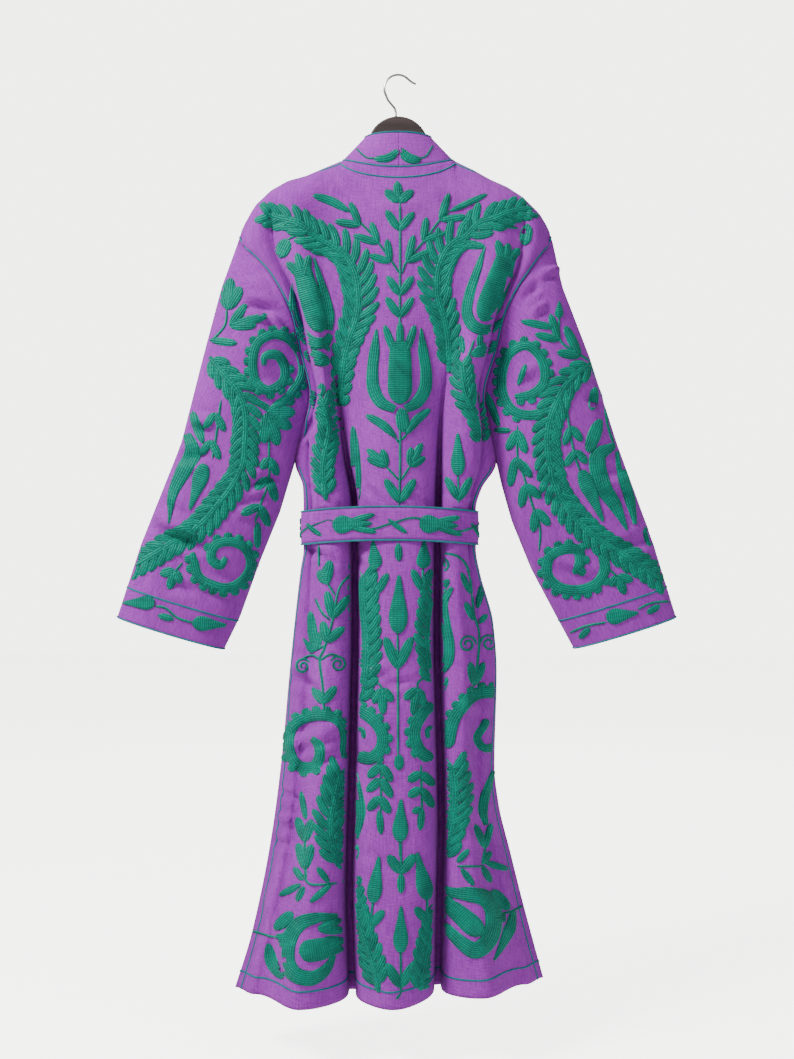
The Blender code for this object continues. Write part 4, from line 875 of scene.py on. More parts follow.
def stroke(work, points, half, shape=None, sideways=False, rise=1.0, roundEnd=False):
    line, share, knots = curve(points)[:3]
    if shape is roundShape:
        share = np.linspace(0, 1, 8)
        line = line[0] + (line[-1] - line[0]) * share[:, None]
    if np.ndim(half):
        width = np.interp(share, np.linspace(0, 1, len(half)) if len(half) != len(knots) else knots, half)
    else:
        width = half * np.interp(share, *zip(*(shape or evenShape)))
    if roundEnd:
        width = width * np.sqrt(np.clip(1 - (np.clip(share - 0.72, 0, 1) / 0.28) ** 2, 0.01, 1))
    work.append((line, np.maximum(width, 0.15), sideways, rise))


def garland(work, spine, half, toEnd=False, sides=(-1, 1)):
    line, share, knots, length = curve(spine)
    wide = np.interp(share, knots, half if np.ndim(half) else [half] * len(knots))
    stroke(work, spine, 0.34 * wide.mean(), evenShape, rise=1.05)
    way = unit(np.gradient(line, axis=0))
    way = way if toEnd else -way
    lean = math.radians(stitch["lean"])
    for at in np.arange(0.3, length / stitch["pitch"]) * stitch["pitch"] / length:
        start, d = [np.array([np.interp(at, share, a[:, k]) for k in (0, 1)]) for a in (line, way)]
        reach = np.interp(at, share, wide) / math.sin(lean)
        for side in sides:
            turned = d * math.cos(lean) + side * math.sin(lean) * np.array([-d[1], d[0]])
            bow = start + turned * 0.55 * reach - d * 0.10 * reach
            stroke(work, [start, bow, start + turned * reach], 0.45 * stitch["pitch"], leafShape)


def scroll(work, points, half, scalloped=True):
    line, share, knots, length = curve(points)
    stroke(work, points, half)
    if not scalloped:
        return
    way = unit(np.gradient(line, axis=0))
    turning = np.sum(way[:-1, 0] * way[1:, 1] - way[:-1, 1] * way[1:, 0])
    out = np.stack([way[:, 1], -way[:, 0]], 1) * (1 if turning > 0 else -1)
    wide = np.interp(share, knots, half) if np.ndim(half) else np.full(len(share), half)
    for at in np.arange(0.6, length * 0.86 / stitch["scallop"]) * stitch["scallop"] / length:
        start, d = [np.array([np.interp(at, share, a[:, k]) for k in (0, 1)]) for a in (line, out)]
        reach = np.interp(at, share, wide) + stitch["lobeReach"]
        stroke(work, [start, start + d * reach], stitch["lobeHalf"], roundShape, rise=0.9)


def spiral(work, centre, radius, clockwise=1, start=0.0, turns=1.7):
    angle = np.linspace(0, turns * 2 * math.pi, 14)
    r = radius * (1 - 0.80 * angle / angle[-1])
    turn = start + clockwise * angle
    stroke(work, np.stack([centre[0] + r * np.cos(turn), centre[1] + r * np.sin(turn)], 1), 1.3)


def embroider(stems=(), leaves=(), buds=(), forks=(), garlands=(), bands=(), scrolls=(), spirals=(),
              bodies=()):
    # Strokes of stitching. Every width is across the whole shape, in steps of the drawing.
    work = []
    for points, *wide in stems:
        stroke(work, points, wide[0] / 2 if wide else stitch["stem"])
    for base, tip, wide, *bow in leaves:
        (ax, ay), (bx, by) = base, tip
        bend = bow[0] if bow else 0.0
        middle = ((ax + bx) / 2 - bend * (by - ay), (ay + by) / 2 + bend * (bx - ax))
        stroke(work, [base, middle, tip], 0.56 * wide, leafShape)
    for base, tip, wide in buds:
        stroke(work, [base, tip], wide / 2, budShape, sideways=True, rise=1.1)
    for base, tips, wide in forks:
        for tip in tips:
            stroke(work, [base, tip], 0.6 * wide, leafShape)
    for spine, half, *more in garlands:
        garland(work, spine, half, *more)
    for points, half in bands:
        stroke(work, points, half)
    for points, half, *more in scrolls:
        scroll(work, points, half, *more)
    for values in spirals:
        spiral(work, *values)
    for points, half in bodies:
        stroke(work, points, half, sideways=True, rise=1.1, roundEnd=True)
    return work


drawn = {}
drawn["collar"] = embroider(
    stems=[([(376, 158), (366, 157), (355, 147)], 2.2), ([(418, 158), (426, 156), (433, 145)], 2.2)],
    leaves=[((399.5, 149), (374, 159), 8.5, -0.14), ((399, 148), (421, 160), 10, 0.16)])
drawn["backMiddle"] = embroider(
    stems=[([(400, 202), (400, 265), (399.6, 327)],), ([(400, 408), (400, 470), (399, 505)],),
           ([(400, 274), (391, 260), (378, 242), (368, 230), (358, 220), (349, 211)],),
           ([(402, 274), (406, 262), (416, 250), (426, 238), (438, 222), (450, 210)],),
           ([(386, 466), (399, 480)],), ([(410, 466), (401, 480)],), ([(395, 437), (400, 444)],),
           ([(407, 434), (401, 440)],)],
    leaves=[((349, 211), (313, 195), 9, 0.05), ((450, 211), (487, 194), 6.5),
            ((396, 437), (366, 415), 9, 0.06), ((406, 434), (430, 409), 9, -0.06),
            ((401, 408), (404, 432), 13)],
    forks=[((399, 202), ((385, 190), (397, 181), (413, 190)), 9), ((399, 230), ((386, 210), (414, 212)), 8),
           ((400, 295), ((387, 276), (413, 276)), 8), ((400, 317), ((386, 297), (413, 297)), 8),
           ((390, 262), ((387, 239), (369, 255)), 7.5), ((378, 243), ((371, 222), (353.4, 235)), 7.5),
           ((360, 225), ((350, 202), (335, 221)), 7.5), ((407, 262), ((413.6, 235), (431, 250)), 7.5),
           ((423, 241), ((426.4, 217), (445, 232)), 7.5), ((440, 220), ((449, 193), (466, 216.4)), 7.5),
           ((387, 466), ((367, 449), (382, 449), (367, 458)), 8),
           ((410, 466), ((422, 443), (425, 457), (411, 447)), 8), ((400, 502), ((385, 479), (415, 479)), 9)],
    bands=[([(376.5, 329), (374.5, 350), (372.5, 370), (373.5, 388), (381, 402), (395, 409)],
            (1, 5.5, 6, 7, 6.5, 4)),
           ([(421, 328), (423, 350), (426, 370), (425, 388), (417, 402), (405, 409)],
            (1, 5.5, 6, 7, 6.5, 4))],
    bodies=[([(400, 341), (400, 360), (400, 385), (400, 404)], (10, 12, 13, 13))])
stroke(drawn["backMiddle"], [(394, 352), (384.5, 325)], 4.5, leafShape)
stroke(drawn["backMiddle"], [(400, 350), (400, 322)], 4.5, leafShape)
stroke(drawn["backMiddle"], [(406, 352), (415, 325)], 4.5, leafShape)
drawn["topLeft"] = embroider(
    stems=[([(300, 233), (288, 239)],)],
    leaves=[((288, 239), (279, 257), 14), ((304, 352), (329, 363), 14), ((324, 343), (330, 351), 5)],
    garlands=[([(266, 214), (280, 218), (298, 223), (316, 236), (330, 244), (344, 254), (354, 270),
                (358, 290), (358, 310), (354, 326), (349, 340), (344, 360), (342, 380), (340, 406)],
               (9, 12, 13, 15, 16, 17, 18, 18, 18, 17, 15, 13, 11, 8)),
              ([(318, 394), (326, 410), (329, 431), (323, 466), (326, 500)], (8, 12, 12, 12, 11))],
    bands=[([(314, 258), (323, 290), (328, 314), (328, 330)], (1, 5, 7, 5)),
           ([(292, 283), (293, 310), (300, 330), (312, 342), (325, 342), (330, 334)], (1, 5, 6, 6.5, 6, 3))],
    forks=[((304, 278), ((287, 262), (297, 253), (309, 255)), 9)],
    bodies=[([(302, 268), (308, 290), (315, 312), (321, 332)], (9.5, 11, 12, 12))])
drawn["topRight"] = embroider(
    stems=[([(500, 226), (518, 228)],), ([(474, 340), (466, 362)],), ([(466, 362), (459, 372)],)],
    leaves=[((528, 224), (524, 245), 12), ((471, 355), (500, 343), 12), ((461, 335), (463, 353), 6),
            ((480, 333), (480, 347), 7)],
    garlands=[([(530, 208), (510, 212), (494, 218), (478, 224), (466, 236), (452, 244), (442, 258),
                (437, 278), (438, 298), (444, 318), (448, 340), (449, 372)],
               (9, 12, 13, 15, 16, 17, 18, 18, 17, 15, 13, 10)),
              ([(462, 364), (464, 386), (468, 400), (478, 420), (481, 442)], (8, 12, 12, 12, 9))],
    bands=[([(485, 246), (478, 268), (470, 292), (467, 312), (474, 326), (490, 329), (505, 318)],
            (1, 4, 5.5, 6, 6.5, 5, 2))],
    forks=[((505, 266), ((497, 240), (508, 243), (519, 248)), 9), ((459, 500), ((446, 477), (471, 477)), 8)],
    buds=[((458, 475), (458, 433), 15)],
    bodies=[([(506, 258), (500, 276), (491, 300), (482, 321)], (10.5, 12.5, 13, 12))])
stroke(drawn["topRight"], [(458, 474), (458.5, 503)], 1.2)
stroke(drawn["topLeft"], [(358, 502), (356, 465), (353, 426)], 5.5, leafShape)
drawn["skirtMiddle"] = embroider(
    stems=[([(397.5, 632), (398, 700), (398, 756)],), ([(376, 593), (375, 608)],),
           ([(422.5, 590), (425, 603)],), ([(376, 568), (375, 593)],), ([(423, 568), (422.5, 590)],),
           ([(400, 840), (400, 857)],), ([(400.6, 951), (401, 993)],), ([(381, 758), (381, 812)],),
           ([(421, 765), (422, 812)],), ([(370, 682), (378, 683), (382, 688)],),
           ([(425, 677), (418, 682), (417.5, 688)],), ([(373, 901), (370, 928)],),
           ([(427, 898), (427, 922)],), ([(396, 999), (401, 993)],), ([(401, 841), (401, 874)],)],
    leaves=[((398, 543), (399, 561), 8), ((399, 770), (399, 754), 10), ((357, 844), (353, 863), 8),
            ((401, 873), (401, 893), 8)],
    buds=[((376, 568), (373, 541), 15), ((423, 568), (424, 541), 15), ((398, 633), (399, 575), 20),
          ((400, 841), (401, 799), 17), ((373, 902), (379, 856), 16), ((427, 899), (417, 852), 17),
          ((400.6, 952), (401, 906), 16)],
    forks=[((376, 594), ((366, 571), (388, 573)), 8), ((422.5, 591), ((412, 569), (431, 569)), 8),
           ((397.5, 668), ((385, 637), (412, 637)), 10),
           ((382, 688), ((373, 703), (383, 714), (393, 701)), 9),
           ((417.5, 688), ((404, 699), (413, 715), (424, 703)), 9),
           ((401, 873), ((388, 855), (415, 854)), 10), ((369, 927), ((362, 901), (384, 910)), 9),
           ((427, 921), ((415, 907), (436, 903)), 9), ((400.6, 987), ((386, 963), (415, 962)), 10),
           ((381, 764), ((368, 777), (392, 781)), 9), ((381, 778), ((367, 791), (392, 797)), 9),
           ((380, 796), ((368, 810), (390, 813)), 9), ((421, 772), ((408, 781), (434, 785)), 9),
           ((422, 788), ((408, 796), (433, 807)), 9), ((379, 810), ((381, 834),), 7),
           ((422, 808), ((420, 830), (412, 812)), 7)],
    garlands=[([(363, 576), (364, 607), (366, 632), (367, 657), (365, 678), (360, 700)],
               (13, 15, 15, 14, 13, 11), False, (1, -1)),
              ([(434, 590), (430, 615), (428, 640), (430, 660), (433, 684)], (13, 13, 13, 12, 11)),
              ([(353, 884), (359, 920), (365, 940), (373, 964), (379, 992)], (8, 11, 12, 13, 11)),
              ([(434, 920), (429, 944), (425, 962), (420, 990)], (9, 12, 13, 11))],
    bands=[([(355, 768), (361, 810), (357, 838)], (2, 5.5, 2))],
    scrolls=[([(355, 707), (368, 715), (378, 725), (383, 737), (380, 750), (370, 758), (357, 755)], 6.5),
             ([(432, 704), (423, 712), (415, 727), (415, 740), (422, 753), (432, 758)], 6.5),
             ([(357, 728), (363, 730), (364, 738)], 2.4, False),
             ([(432, 726), (427, 730), (428, 738)], 2.4, False)])
drawn["skirtLeft"] = embroider(
    stems=[([(319, 545), (319, 566)],), ([(327.5, 583), (335, 595)],),
           ([(354, 571), (342, 583), (337, 595), (333, 618), (325, 647), (320, 660), (323, 687),
             (324, 713)],), ([(315, 598), (322, 612), (330, 620)],), ([(305, 840), (306, 879)],),
           ([(303, 874), (311, 884), (337, 883)],), ([(251, 930), (267, 935), (283, 939)],),
           ([(316, 650), (327, 644)],)],
    leaves=[((303, 880), (294, 867), 7), ((301, 884), (279, 895), 7), ((304, 886), (297, 901), 7),
            ((329, 882), (317, 867), 7), ((331, 884), (310, 902), 7), ((275, 929), (293, 912), 12),
            ((268, 943), (283, 978), 12, 0.1), ((301, 791), (306, 819), 6)],
    forks=[((332, 618), ((327, 591), (349, 596)), 9), ((326, 642), ((323, 621), (344, 627)), 9),
           ((315, 651), ((310, 611), (319, 632)), 9), ((323, 703), ((313, 687), (336, 686)), 9),
           ((305, 841), ((297, 817), (312, 819)), 9), ((305, 869), ((298, 843), (312, 844)), 9),
           ((326, 583), ((319, 570), (330, 560)), 10), ((318, 929), ((341, 919), (344, 930)), 9),
           ((322, 940), ((345, 941), (343, 950)), 9)],
    buds=[((314, 652), (303, 638), 9), ((327, 584), (324, 566), 12)],
    garlands=[([(341, 772), (335, 800), (331, 826), (335, 850), (341, 868)], (13, 16, 17, 16, 13))],
    bands=[([(337, 915), (315, 918), (299, 924), (289, 940), (287, 960), (295, 974), (311, 978), (325, 970),
             (334, 955)], (2, 6, 8, 8.5, 8.5, 8.5, 8, 6, 2)), ([(277, 938), (289, 938)], (5, 6))],
    scrolls=[([(344, 758), (345, 732), (335, 718), (318, 715), (300, 720), (290, 732), (290, 752), (298, 765),
               (312, 767), (319, 758), (319, 746), (312, 738)], 6.0)],
    spirals=[((303, 666), 8.0, -1, -0.5), ((338, 664), 8.5, 1, 3.6)],
    bodies=[([(338, 944), (320, 949), (299, 952)], (9, 12, 12))])
stroke(drawn["skirtLeft"], [(321, 660), (312, 655), (303, 658)], 1.3)
stroke(drawn["skirtLeft"], [(321, 660), (330, 654), (339, 656)], 1.3)
drawn["skirtRight"] = embroider(
    stems=[([(440, 552.5), (455, 555), (465, 563), (470, 578), (472, 595), (474, 615), (479, 632), (478, 657),
             (473, 688)],), ([(485, 848), (482, 864)],), ([(457, 866), (485, 866)],),
           ([(499, 914), (511, 911), (524, 905)],)],
    leaves=[((470, 593), (461, 572), 6), ((474, 620), (465, 602), 7), ((477.5, 608), (482, 584), 7),
            ((479, 623), (487, 614), 6), ((447.5, 677), (440, 694), 7), ((457, 862), (469, 849), 7),
            ((461, 868), (474, 885), 7), ((482, 864), (491, 851), 7), ((485, 862), (508, 869), 7),
            ((482, 866), (491, 882), 7), ((509, 909), (491, 890), 12)],
    forks=[((474, 685), ((470, 662), (484, 662)), 8), ((485, 848), ((475, 824), (491, 823)), 7),
           ((455, 906), ((437, 889), (434, 900)), 9)],
    garlands=[([(453, 766), (455, 794), (453, 816), (449, 838), (446, 857)], (13, 16, 17, 16, 13))],
    bands=[([(452, 587), (444, 603), (445, 623), (448, 643), (447, 660), (440, 674)], (2, 4.5, 6, 7, 7, 3)),
           ([(493, 771), (485, 796), (483, 810), (486, 824)], (2, 5.5, 5.5, 3)),
           ([(439, 885), (453, 892), (469, 894), (485, 898), (493, 910), (493, 928), (487, 942), (475, 950),
             (461, 942), (447, 928), (438, 921)], (2, 5, 8, 9, 9, 9, 9, 9, 7, 5, 2)),
           ([(493, 918), (505, 917)], (6, 5)), ([(513, 911), (509, 930), (494, 960)], (3, 6.5, 1))],
    scrolls=[([(498, 692), (482, 692), (470, 698), (458, 712), (452, 725), (448, 747)], 6.5),
             ([(497, 745), (485, 748), (477, 738), (483, 727), (487, 719)], 4.5, False)],
    spirals=[((442, 565), 7.5, 1, 4.5), ((467.5, 644), 9, -1, 0.0), ((489, 643), 9, 1, 3.1)],
    bodies=[([(438, 897), (455, 910), (471, 924), (483, 934)], (5, 9, 11, 11))])
drawn["sleeveLeft"] = embroider(
    stems=[([(227, 309), (225, 325), (212.5, 340)],),
           ([(269, 412), (269, 457.5), (269, 477.5), (265, 492.5), (260, 505), (255, 523)],),
           ([(221, 400), (217, 430), (212.5, 458)],), ([(182.5, 562.5), (175, 571)],),
           ([(155, 606), (165, 607.5), (177.5, 617.5), (193, 622.5)],)],
    leaves=[((210, 340), (237, 343), 8), ((257.5, 522), (257.5, 548), 8), ((203, 443), (192, 411), 10),
            ((174, 619), (158, 615), 7)],
    buds=[((205, 464), (190, 509), 17), ((155, 602.5), (123, 602.5), 15), ((192.5, 622.5), (226, 625), 16)],
    forks=[((227.5, 309), ((231, 278), (223, 283), (241, 287)), 11),
           ((230, 326), ((246, 304), (268, 315), (256, 325)), 9),
           ((267.5, 412.5), ((295, 412), (291, 428), (278, 445), (264, 443)), 12),
           ((269, 457.5), ((261, 469), (278, 475)), 9), ((269, 477.5), ((255, 489), (276, 501)), 9),
           ((260, 505), ((241, 514), (269, 526)), 9), ((215, 412.5), ((204, 428), (225, 431)), 8),
           ((211, 440), ((200, 455), (220, 459)), 8), ((175, 570), ((160, 574), (169, 589), (181, 583)), 9)],
    garlands=[([(210, 357), (222.5, 372.5), (237.5, 390), (245, 412), (245, 440), (242.5, 465), (232.5, 485),
                (217.5, 505), (205, 520), (190, 532.5), (172.5, 542.5), (152.5, 555), (136, 565)],
               (11, 14, 15, 14, 14, 14, 14, 14, 13, 13, 13, 12, 10), True)],
    bands=[([(245, 395), (268, 408)], (4, 4)),
           ([(187.5, 434), (192.5, 452.5), (182.5, 472.5), (172.5, 495), (169, 523)], (4, 9, 8, 5, 1))],
    scrolls=[([(267, 412), (287.5, 397.5), (302.5, 375), (300, 352.5), (287.5, 337.5), (272.5, 334),
               (257.5, 342.5), (252.5, 360), (255, 380), (267.5, 390), (282.5, 382.5), (285, 367.5),
               (277.5, 355), (265, 356), (264, 365)], 5.5),
             ([(192.5, 552.5), (197.5, 575), (212.5, 585), (230, 587.5), (245, 577.5), (251, 562.5),
               (245, 547.5), (230, 541), (215, 545), (211, 557.5), (220, 565), (226, 557)], 5.5)])
drawn["sleeveRight"] = embroider(
    stems=[([(559, 317), (560, 340), (576, 352), (590, 361)],),
           ([(517.5, 425), (517.5, 455), (525, 480), (532.5, 505), (540, 527.5), (539, 551)],),
           ([(566, 400), (569, 425), (574, 452.5), (580, 471)],),
           ([(590, 362.5), (602.5, 395), (607.5, 425), (615, 448)],), ([(607.5, 567.5), (618, 577)],),
           ([(570, 632.5), (585, 626), (606, 622)],), ([(637.5, 609), (652.5, 602.5), (673, 601)],)],
    leaves=[((555, 327.5), (521, 321), 8), ((518, 385), (526, 364), 6), ((486, 392), (499, 426), 8),
            ((494, 430), (511, 430), 6), ((595, 387), (592, 410), 10), ((600, 419), (588, 452), 13),
            ((645, 527), (650, 546), 8), ((590, 627.5), (579, 638), 7), ((660, 605), (647, 613), 7)],
    buds=[((581, 470), (603, 521), 17), ((606, 617.5), (638, 612.5), 17), ((559, 318), (559, 301), 10)],
    forks=[((559, 340), ((550, 314), (535, 334)), 8), ((580, 356), ((565, 326), (557, 352)), 9),
           ((517.5, 430), ((507, 450), (526, 453)), 9), ((515, 457.5), ((510, 486), (532, 477)), 9),
           ((525, 484), ((521, 507), (541, 498)), 9), ((536, 509), ((533, 532), (550, 525)), 9),
           ((571, 426), ((564, 445), (582, 441)), 8), ((576, 450), ((565, 466), (587, 463)), 8),
           ((617, 576), ((610, 586), (625, 594), (633, 580)), 9)],
    garlands=[([(590, 363), (570, 380), (557.5, 400), (550, 420), (547.5, 440), (550, 465), (555, 485),
                (567.5, 507.5), (582.5, 525), (600, 540), (620, 552.5), (640, 565), (662, 581)],
               (11, 14, 15, 14, 14, 14, 14, 14, 13, 13, 13, 12, 10), True)],
    bands=[([(612.5, 446), (597.5, 457.5), (602.5, 485), (615, 505), (627, 530)], (4, 9, 9, 7, 1)),
           ([(617.5, 451), (622.5, 475), (630, 500), (635, 524)], (3, 6, 6, 2))],
    scrolls=[([(515, 396), (530, 395), (542.5, 385), (545, 370), (537.5, 352.5), (525, 345), (510, 352.5),
               (502.5, 370), (502.5, 392.5), (512.5, 410), (530, 415), (550, 410)], 5.5),
             ([(574, 573), (580, 562.5), (577.5, 550), (562.5, 549), (549, 557.5), (547.5, 575), (560, 587.5),
               (580, 590), (597.5, 582.5), (605, 567.5), (600, 554)], 6.0)])


def vine(length, period, reach, start=0.0):
    # A waving stem with tulips and leaves by turns, along a band and across it.
    count = round(length / period)
    period = length / count
    wave = [(start + i * period / 4, reach * 0.42 * math.sin((i - 1) * math.pi / 2))
            for i in range(4 * count + 1)]
    work = embroider(stems=[(wave, 2.4)])
    for i in range(count):
        at = start + i * period
        for far, up in ((0.57, 0.66), (0.52, 0.0), (0.55, -0.66)):
            stroke(work, [(at + 0.24 * period, 0.25 * up * reach), (at + far * period, up * reach)],
                   0.27 * reach, leafShape)
        stroke(work, [(at + 0.06 * period, 0.0), (at + 0.44 * period, 0.0)], 0.72 * reach, budShape,
               sideways=True, rise=1.1)
        stroke(work, [(at + 0.70 * period, -0.3 * reach), (at + 0.80 * period, 0.2 * reach),
                      (at + 0.92 * period, 0.72 * reach)], 0.22 * reach, leafShape)
    return work


def inFold(spot):
    # Whether a spot lies at the bottom of one of the two deep folds of the back.
    low, high = stitch["foldY"]
    return low < spot.y < high and spot.z < stitch["foldBelow"] and abs(spot.x) < stitch["foldHalfX"]


def seenFrom(key, view):
    # Lays flat points of the drawing on a cloth piece, along lines of sight from behind or from the front.
    mesh = cloth[key].data
    tree = BVHTree.FromPolygons([v.co[:] for v in mesh.vertices], [list(p.vertices) for p in mesh.polygons])
    eye = Vector(studio["cameraAt"])
    thick = robe["bandThick"] if key.startswith("neckband") else robe["clothThick"]

    def place(flat):
        put, normals, found = np.zeros((len(flat), 3)), np.zeros((len(flat), 3)), np.zeros(len(flat), bool)
        for i, (across, down) in enumerate(flat):
            x, z = (across - stitch["middle"]) * stitch["step"], (stitch["hookAt"] - down) * stitch["step"]
            if view == "behind":
                way = (Vector((x, 0, z)) - eye).normalized()
                hit, normal = tree.ray_cast(eye, way)[:2]
            else:
                way = Vector((0, -1, 0))
                hit, normal = tree.ray_cast(Vector((x, 1, z)), way)[:2]
            if hit is None or abs(normal.dot(way)) < stitch["flattest"] or inFold(hit):
                continue
            if normal.dot(way) > 0:
                normal, hit = -normal, hit - normal * thick
            put[i], normals[i], found[i] = hit, normal, True
        return put, normals, found
    return place


def alongBand(grid, normals, closed=False):
    # Lays flat points on a band, by their distance along it and across from its middle line.
    length = lengthAlong(grid[:, grid.shape[1] // 2])
    wide = np.linalg.norm(grid[:, -1] - grid[:, 0], axis=1)

    def place(flat):
        along = flat[:, 0] * stitch["step"]
        row = np.interp(along % length[-1] if closed else along, length, np.arange(len(length)))
        width = np.interp(row, np.arange(len(wide)), wide)
        column = np.clip(0.5 + flat[:, 1] * stitch["step"] / width, 0, 1) * (grid.shape[1] - 1)
        r, c = np.minimum(row.astype(int), len(length) - 2), np.minimum(column.astype(int), grid.shape[1] - 2)
        s, t = (row - r)[:, None], (column - c)[:, None]
        put, turned = [(1 - s) * ((1 - t) * a[r, c] + t * a[r, c + 1])
                       + s * ((1 - t) * a[r + 1, c] + t * a[r + 1, c + 1]) for a in (grid, normals)]
        return put, turned, np.ones(len(flat), bool)
    return place, length[-1] / stitch["step"]


def acrossGrid(grid, normals, edge, away):
    # The line on a grid at a distance in from one of its edges.
    if edge in ("left", "right"):
        grid, normals = grid.transpose(1, 0, 2), normals.transpose(1, 0, 2)
    if edge in ("foot", "right"):
        grid, normals = grid[::-1], normals[::-1]
    grid, normals = grid[:24], normals[:24]
    length = lengthAlong(grid)
    points = [[np.interp(away, length[:, k], a[:, k, axis]) for axis in range(3)]
              for a in (grid, normals) for k in range(grid.shape[1])]
    points = np.array(points).reshape(2, -1, 3)
    return points[0], unit(points[1])


columnsNarrow, columnsWide = np.array([-1, -0.74, 0, 0.74, 1]), np.array([-1, -0.87, -0.5, 0, 0.5, 0.87, 1])


def sew(key, parts, lines):
    # One piece of raised stitching: strokes laid on the cloth, and cords along lines of it.
    spots, faces, uvs, kinds, count = [], [], [], [], 0

    def addStrip(put, uv, kind, flip, keep=None):
        nonlocal count
        rows, columns = put.shape[:2]
        quads = np.stack([k * columns + j for k, j in faceCorners(rows, columns, flip)], 1)
        keep = np.ones(len(quads), bool) if keep is None else keep.reshape(-1)
        if not keep.any():
            return
        spots.append(put.reshape(-1, 3))
        faces.append(quads[keep] + count)
        uvs.append(uv.reshape(-1, 2)[quads[keep]].reshape(-1, 2))
        kinds.append(np.full(keep.sum(), kind))
        count += rows * columns

    for work, place in parts:
        for number, (line, width, sideways, rise) in enumerate(work):
            way = unit(np.gradient(line, axis=0))
            side = np.stack([-way[:, 1], way[:, 0]], 1)
            t = columnsWide if width.max() > 6 else columnsNarrow
            flat = line[:, None] + side[:, None] * (width[:, None] * t)[..., None]
            put, out, found = place(flat.reshape(-1, 2))
            shape = flat.shape[:2]
            put, out, found = put.reshape(*shape, 3), out.reshape(*shape, 3), found.reshape(shape)
            full = np.minimum(width / 2.2, 1.0)[:, None]
            # a stroke is highest along its middle, and its outer edges dip into the cloth
            arch = np.where(np.abs(t) == 1, -0.35, (1 - 0.24 * t**2) * full)
            raised = put + out * (arch * stitch["rise"] * rise)[..., None]
            good = found[:-1, :-1] & found[1:, :-1] & found[:-1, 1:] & found[1:, 1:]
            # leave out faces that are torn apart where a stroke crosses from one fold to the next
            for first, second, flatA, flatB in ((put[:-1], put[1:], flat[:-1], flat[1:]),
                                                (put[:, :-1], put[:, 1:], flat[:, :-1], flat[:, 1:])):
                apart = np.linalg.norm(flatB - flatA, axis=2)
                reach = stitch["stretch"] * stitch["step"] * apart + stitch["slack"]
                far = np.linalg.norm(second - first, axis=2) > reach
                good &= ~(far[:, :-1] | far[:, 1:]) if far.shape[0] == shape[0] - 1 else ~(far[:-1] | far[1:])
            u, v = width[:, None] * t, np.repeat(lengthAlong(line)[:, None], len(t), 1)
            shift = (0.037 * number % 1, 0.061 * number % 1)  # the stitch pattern starts anew in each stroke
            uv = np.stack([v, u] if sideways else [u, v], -1) * stitch["step"] + shift
            flip = (faceNormals(put) * out[:-1, :-1] * good[..., None]).sum() > 0
            addStrip(raised, uv, 0, flip, good)
    turn = np.linspace(0, 2 * math.pi, 9)
    for number, (points, out, half, rise) in enumerate(lines):
        side = unit(np.cross(np.gradient(points, axis=0), out))
        put = points[:, None] + (side[:, None] * (half * np.cos(turn))[:, None]
                                 + out[:, None] * (rise * np.sin(turn))[:, None])
        uv = np.stack(np.broadcast_arrays(half * turn / 2 + 0.011 * number, lengthAlong(points)[:, None]), -1)
        addStrip(put, uv, 1, True)
    name = "stitching_" + nodeOf[key]
    mesh = bpy.data.meshes.new(name)
    mesh.from_pydata(np.concatenate(spots).tolist(), [], np.concatenate(faces).tolist())
    mesh.uv_layers.new(name="UVMap").data.foreach_set("uv", np.concatenate(uvs).astype(np.float32).ravel())
    mesh.materials.append(emerald)
    mesh.materials.append(teal)
    mesh.polygons.foreach_set("material_index", np.concatenate(kinds).astype(np.int32))
    loose = bmesh.new()
    loose.from_mesh(mesh)
    bmesh.ops.delete(loose, geom=[v for v in loose.verts if not v.link_faces], context="VERTS")
    loose.to_mesh(mesh)
    mesh.shade_smooth()
    piece = putInScene(name, mesh)
    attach(piece, "root")
    print(name, len(mesh.polygons), "faces")


normals = {key: gridNormals(grid, facings.get(key), closed=key not in facings) for key, grid in grids.items()}
cords = {  # half width and height of a line and of a piped edge, then how far in from its edge each line lies
    "half": 0.0014, "rise": 0.0011, "pipe": 0.0013, "edge": 0.0004, "hem": 0.025, "side": 0.012,
    "armBack": 0.009, "armFront": 0.010, "neck": 0.014, "shoulder": 0.0008, "cuff": 0.046, "band": 0.0020,
    "neckHalf": 0.112,
}


def line(key, edge, away, start=0, stop=None):
    points, out = acrossGrid(grids[key], normals[key], edge, cords[away])
    return points[start:stop], out[start:stop], cords["half"], cords["rise"]


def piping(key, *edges):
    return [(*acrossGrid(grids[key], normals[key], edge, cords["edge"]), cords["pipe"], cords["pipe"])
            for edge in edges]


under = panelRows["armhole"]
shoulderColumns = np.nonzero(np.abs(grids["back"][0, :, 0]) < robe["neckHalf"])[0]
neckColumns = np.nonzero(np.abs(grids["back"][0, :, 0]) < cords["neckHalf"])[0]
sew("back",
    [(drawn[k], seenFrom("back", "behind"))
     for k in ("backMiddle", "topLeft", "topRight", "skirtMiddle", "skirtLeft", "skirtRight")],
    [line("back", "foot", "hem"), line("back", "left", "side", under + 2),
     line("back", "right", "side", under + 2),
     line("back", "left", "armBack", 1, under - 12), line("back", "right", "armBack", 1, under - 12),
     line("back", "top", "neck", neckColumns[0], neckColumns[-1] + 1),
     line("back", "top", "shoulder", 1, shoulderColumns[0]),
     line("back", "top", "shoulder", shoulderColumns[-1], -1)])
for key, works in (("frontRight", ("topRight", "skirtRight")), ("frontLeft", ("topLeft", "skirtLeft"))):
    sew(key, [(drawn[k], seenFrom(key, "before")) for k in works],
        [line(key, "foot", "hem"), line(key, "left", "side", under + 2),
         line(key, "left", "armFront", 3, under - 6), line(key, "right", "side")])
for key in ("sleeveRight", "sleeveLeft"):
    sew(key, [(drawn[key], seenFrom(key, view)) for view in ("behind", "before")],
        [line(key, "foot", "cuff"), *piping(key, "foot")])
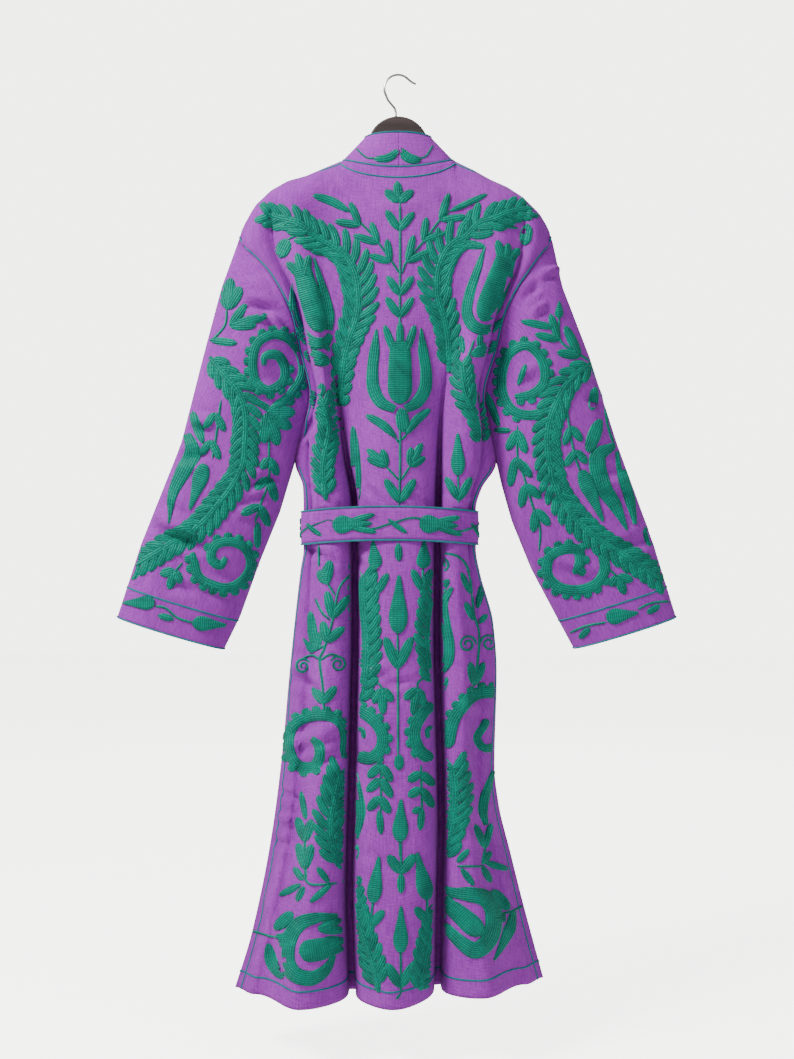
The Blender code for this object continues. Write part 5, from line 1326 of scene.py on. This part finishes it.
for key in ("neckbandRight", "neckbandLeft"):
    place, length = alongBand(grids[key], normals[key])
    vineWork = [(np.array(points) + (80, 0), width, sideways, rise)
                for points, width, sideways, rise in vine(length - 84, 84, 13)]
    sew(key, [(vineWork, place), (drawn["collar"], seenFrom(key, "behind"))],
        [*piping(key, "right"), line(key, "left", "band")])
ring = grids["belt"].transpose(1, 0, 2)
beltPlace, beltLength = alongBand(ring, normals["belt"].transpose(1, 0, 2), True)
behind = [i for i in range(len(ring)) if ring[i, 4, 1] < belt["y"] and ring[i, 4, 0] > -0.100]
firstTulip = np.linalg.norm(np.diff(ring[:behind[0] + 1, 4], axis=0), axis=1).sum() / stitch["step"]
sew("belt", [(vine(beltLength, 85, 13, firstTulip), beltPlace)], piping("belt", "top", "foot"))
for key in ("endRight", "endLeft"):
    place, length = alongBand(grids[key], normals[key])
    sew(key, [(vine(length - 4, 85, 13), place)], piping(key, "left", "right", "foot"))
print("embroidery made")


# Floor, light and camera

floor = putInScene("floor", bpy.data.meshes.new("floor"))
floor.data.from_pydata([(-6, -6, 0), (6, -6, 0), (6, 6, 0), (-6, 6, 0)], [], [(0, 1, 2, 3)])
floor.location.z = studio["floorZ"]
pale, tree, shader = newMaterial("paleFloor")
shader.inputs["Base Color"].default_value = (0.90, 0.885, 0.86, 1)
shader.inputs["Emission Color"].default_value = studio["paper"]
shader.inputs["Roughness"].default_value = 0.9
sight = addNode(tree, "ShaderNodeLightPath").outputs["Is Camera Ray"]
tree.links.new(maths(tree, "MULTIPLY", sight, studio["floorGlow"]), shader.inputs["Emission Strength"])
floor.data.materials.append(pale)

world = bpy.data.worlds.new("paleRoom")
world.use_nodes = True
room = world.node_tree
wall, sight = addNode(room, "ShaderNodeBackground"), addNode(room, "ShaderNodeLightPath")
wall.inputs[0].default_value, wall.inputs[1].default_value = studio["paper"], studio["wall"]
room.nodes["Background"].inputs[0].default_value = (0.97, 0.98, 1.0, 1)
room.nodes["Background"].inputs[1].default_value = studio["room"]
seen = addNode(room, "ShaderNodeMixShader", {0: sight.outputs["Is Camera Ray"]})
room.links.new(room.nodes["Background"].outputs[0], seen.inputs[1])
room.links.new(wall.outputs[0], seen.inputs[2])
room.links.new(seen.outputs[0], room.nodes["World Output"].inputs[0])
bpy.context.scene.world = world


def softLight(name, place, target, size, power, colour):
    light = bpy.data.lights.new(name, "AREA")
    light.shape, light.size, light.energy, light.color = "SQUARE", size, power, colour
    lamp = putInScene(name, light)
    lamp.location = place
    lamp.rotation_euler = (Vector(target) - Vector(place)).to_track_quat("-Z", "Y").to_euler()


for name, values in studio["lights"].items():
    softLight(name, *values)

camera = putInScene("camera", bpy.data.cameras.new("camera"))
camera.location = studio["cameraAt"]
camera.rotation_euler = (math.pi / 2, 0, 0)
camera.data.lens = 36 * -studio["cameraAt"][1] / studio["photoHigh"]
bpy.context.scene.camera = camera

bpy.context.view_layer.update()
